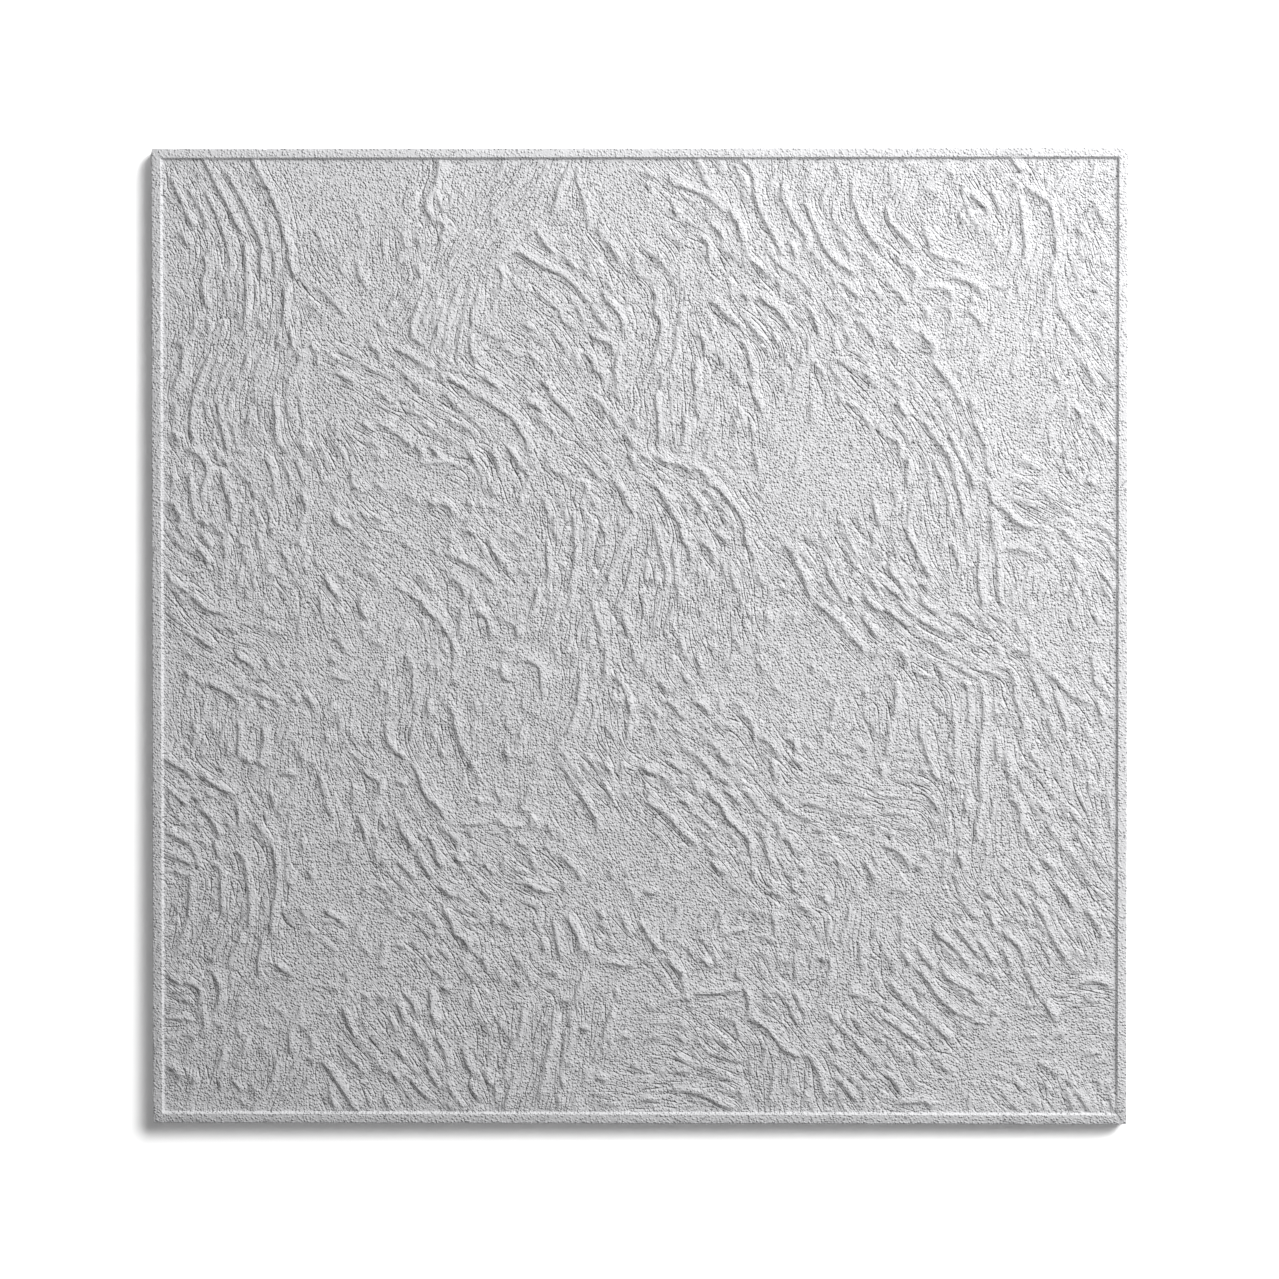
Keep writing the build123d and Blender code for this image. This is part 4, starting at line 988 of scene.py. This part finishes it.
def white_foam():
    """Matt white foam: beads with a few missing, their pits painted a darker grey as painted shade, fainter
    on the rim and ridges, and brush streaks.
    """
    material = bpy.data.materials.new("white_foam")
    sheet = NodeSheet(material)
    shader = sheet.nodes["Principled BSDF"]
    shader.inputs["Roughness"].default_value = FOAM_ROUGHNESS
    shader.inputs["Specular IOR Level"].default_value = FOAM_SPECULAR
    place = sheet.place()

    beads = sheet.add("TexVoronoi", {"Vector": place, "Scale": 1.0 / (BEAD_PITCH * MM)})
    from_centre, chance = beads.outputs["Distance"], sheet.chances(beads)
    missing = sheet.math("LESS_THAN", chance["Red"], PIT_SHARE)
    pit = sheet.math("MULTIPLY", missing, sheet.math("SUBTRACT", 1.0, sheet.ramp(from_centre, *PIT_PROFILE)))
    size = sheet.varied(chance["Green"], *(share * BEAD_HEIGHT for share in BEAD_SIZES))
    dome = sheet.math("SUBTRACT", 1.0, sheet.ramp(from_centre, *BEAD_PROFILE))
    domes = sheet.math("MULTIPLY", dome, size)
    grit = sheet.add("TexNoise", {"Vector": place, "Scale": 1.0 / (GRIT_PITCH * MM), "Detail": 0.0})
    fused = sheet.math("MULTIPLY_ADD", grit.outputs["Fac"], GRIT_HEIGHT, domes)
    holed = sheet.math("MULTIPLY_ADD", pit, -PIT_DEPTH, fused)
    rough = sheet.attribute("rough_ground", "Fac")
    grain = sheet.math("MULTIPLY", holed, sheet.varied(rough, SMOOTH_BEAD_SHARE, 1.0 - SMOOTH_BEAD_SHARE))

    height = sheet.math("MULTIPLY_ADD", brush_streaks(sheet, place), STREAK_HEIGHT, grain)
    bump = sheet.add("Bump", {"Distance": MM, "Height": height})
    sheet.links.new(bump.outputs["Normal"], shader.inputs["Normal"])
    # The base colour turns to the painted shade grey in the pits of missing beads
    sheet.links.new(sheet.mix(pit, FOAM_COLOUR, PIT_SHADE_COLOUR), shader.inputs["Base Color"])
    return material


def foam_tile():
    """The whole tile as one closed piece of brushed foam."""
    ridges = all_ridges()
    ridge_height = ridge_map(ridges)
    tile = blank_tile()
    carve_tile(tile, plaster_relief(ridge_height))
    thin_tile(tile)
    note_brush(tile, ridges, ridge_height)
    tile.data.materials.append(white_foam())
    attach(tile, "root")
    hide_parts("ceiling_tile")


FLOOR_SIDE = 6.0
FLOOR_DROP = 0.05
FLOOR_COLOUR = (0.8, 0.8, 0.8, 1.0)
# The floor is shown brighter than it lights the tile, so that it reads as a white sheet: less so near
# the tile, where it keeps the shadow
SHADE_COLOUR = (2.75, 2.75, 2.75, 1.0)
SHEET_COLOUR = (4.2, 4.2, 4.2, 1.0)
SHADE_REACH = (0.02, 0.09)


def white_floor():
    """A plain floor that keeps the tile's soft shadow and is otherwise white to the camera."""
    bpy.ops.object.select_all(action="DESELECT")
    bpy.ops.mesh.primitive_plane_add(size=FLOOR_SIDE, location=(0.0, 0.0, -FLOOR_DROP * MM))
    floor = bpy.context.object
    floor.name = "floor"
    material = bpy.data.materials.new("white_sheet")
    sheet = NodeSheet(material)
    sheet.nodes.remove(sheet.nodes["Principled BSDF"])
    place = sheet.split(sheet.place())
    away = sheet.math("MAXIMUM", *(sheet.math("ABSOLUTE", place[axis]) for axis in "XY"))
    far = sheet.ramp(away, *(TILE_SIDE / 2 * MM + reach for reach in SHADE_REACH))
    shown = sheet.mix(far, SHADE_COLOUR, SHEET_COLOUR)
    ray = sheet.nodes.new("ShaderNodeLightPath").outputs
    mirrored = sheet.math("MAXIMUM", ray["Is Glossy Ray"], ray["Is Transmission Ray"])
    seen = sheet.math("MAXIMUM", ray["Is Camera Ray"], mirrored)
    paper = sheet.add("BsdfDiffuse", {"Color": sheet.mix(seen, FLOOR_COLOUR, shown)})
    sheet.links.new(paper.outputs["BSDF"], sheet.nodes["Material Output"].inputs["Surface"])
    floor.data.materials.append(material)


LAMP_AZIMUTH = math.radians(44)
LAMP_REACH = 1.18
LAMP_HEIGHT = 0.83
LAMP_SIDE = 1.3
LAMP_POWER = 31.2
WORLD_COLOUR = (1.0, 1.0, 1.0, 1.0)
WORLD_STRENGTH = 0.09


def studio_light():
    """One soft lamp low on the upper right, and a weak even light from all round."""
    place = Vector((
        LAMP_REACH * math.cos(LAMP_AZIMUTH), LAMP_REACH * math.sin(LAMP_AZIMUTH), LAMP_HEIGHT))
    bpy.ops.object.light_add(type="AREA", location=place)
    lamp = bpy.context.object
    lamp.name = "softbox"
    lamp.rotation_euler = (-place).to_track_quat("-Z", "Y").to_euler()
    lamp.data.shape = "SQUARE"
    lamp.data.size = LAMP_SIDE
    lamp.data.energy = LAMP_POWER
    world = bpy.data.worlds.new("studio")
    world.use_nodes = True
    background = world.node_tree.nodes["Background"]
    background.inputs["Color"].default_value = WORLD_COLOUR
    background.inputs["Strength"].default_value = WORLD_STRENGTH
    bpy.context.scene.world = world


CAMERA_HEIGHT = 2.2
SENSOR_WIDTH = 36.0
PHOTO_WIDTH = 1279
TILE_WIDTH_IN_PHOTO = 976.0
TILE_CENTRE_IN_PHOTO = (639.0, 636.7)
# The top and right sides of the tile are a little longer in the photograph, so the camera leans that way
LEAN_RIGHT = math.radians(0.85)
LEAN_UP = math.radians(1.0)


def straight_down_camera():
    """A camera over the tile, as far off its centre and as far off plumb as in the photograph."""
    pixel = TILE_SIDE * MM / TILE_WIDTH_IN_PHOTO
    aim = Vector((
        (PHOTO_WIDTH / 2 - TILE_CENTRE_IN_PHOTO[0]) * pixel,
        (TILE_CENTRE_IN_PHOTO[1] - PHOTO_WIDTH / 2) * pixel,
        TILE_TOP * MM))
    rise = CAMERA_HEIGHT - aim.z
    place = aim + Vector((rise * math.tan(LEAN_RIGHT), rise * math.tan(LEAN_UP), rise))
    bpy.ops.object.camera_add(location=place, rotation=(-LEAN_UP, LEAN_RIGHT, 0.0))
    camera = bpy.context.object
    camera.data.sensor_width = SENSOR_WIDTH
    camera.data.lens = SENSOR_WIDTH * (place - aim).length / (PHOTO_WIDTH * pixel)
    bpy.context.scene.camera = camera


foam_tile()
white_floor()
studio_light()
straight_down_camera()
bpy.context.scene.view_settings.view_transform = "Standard"
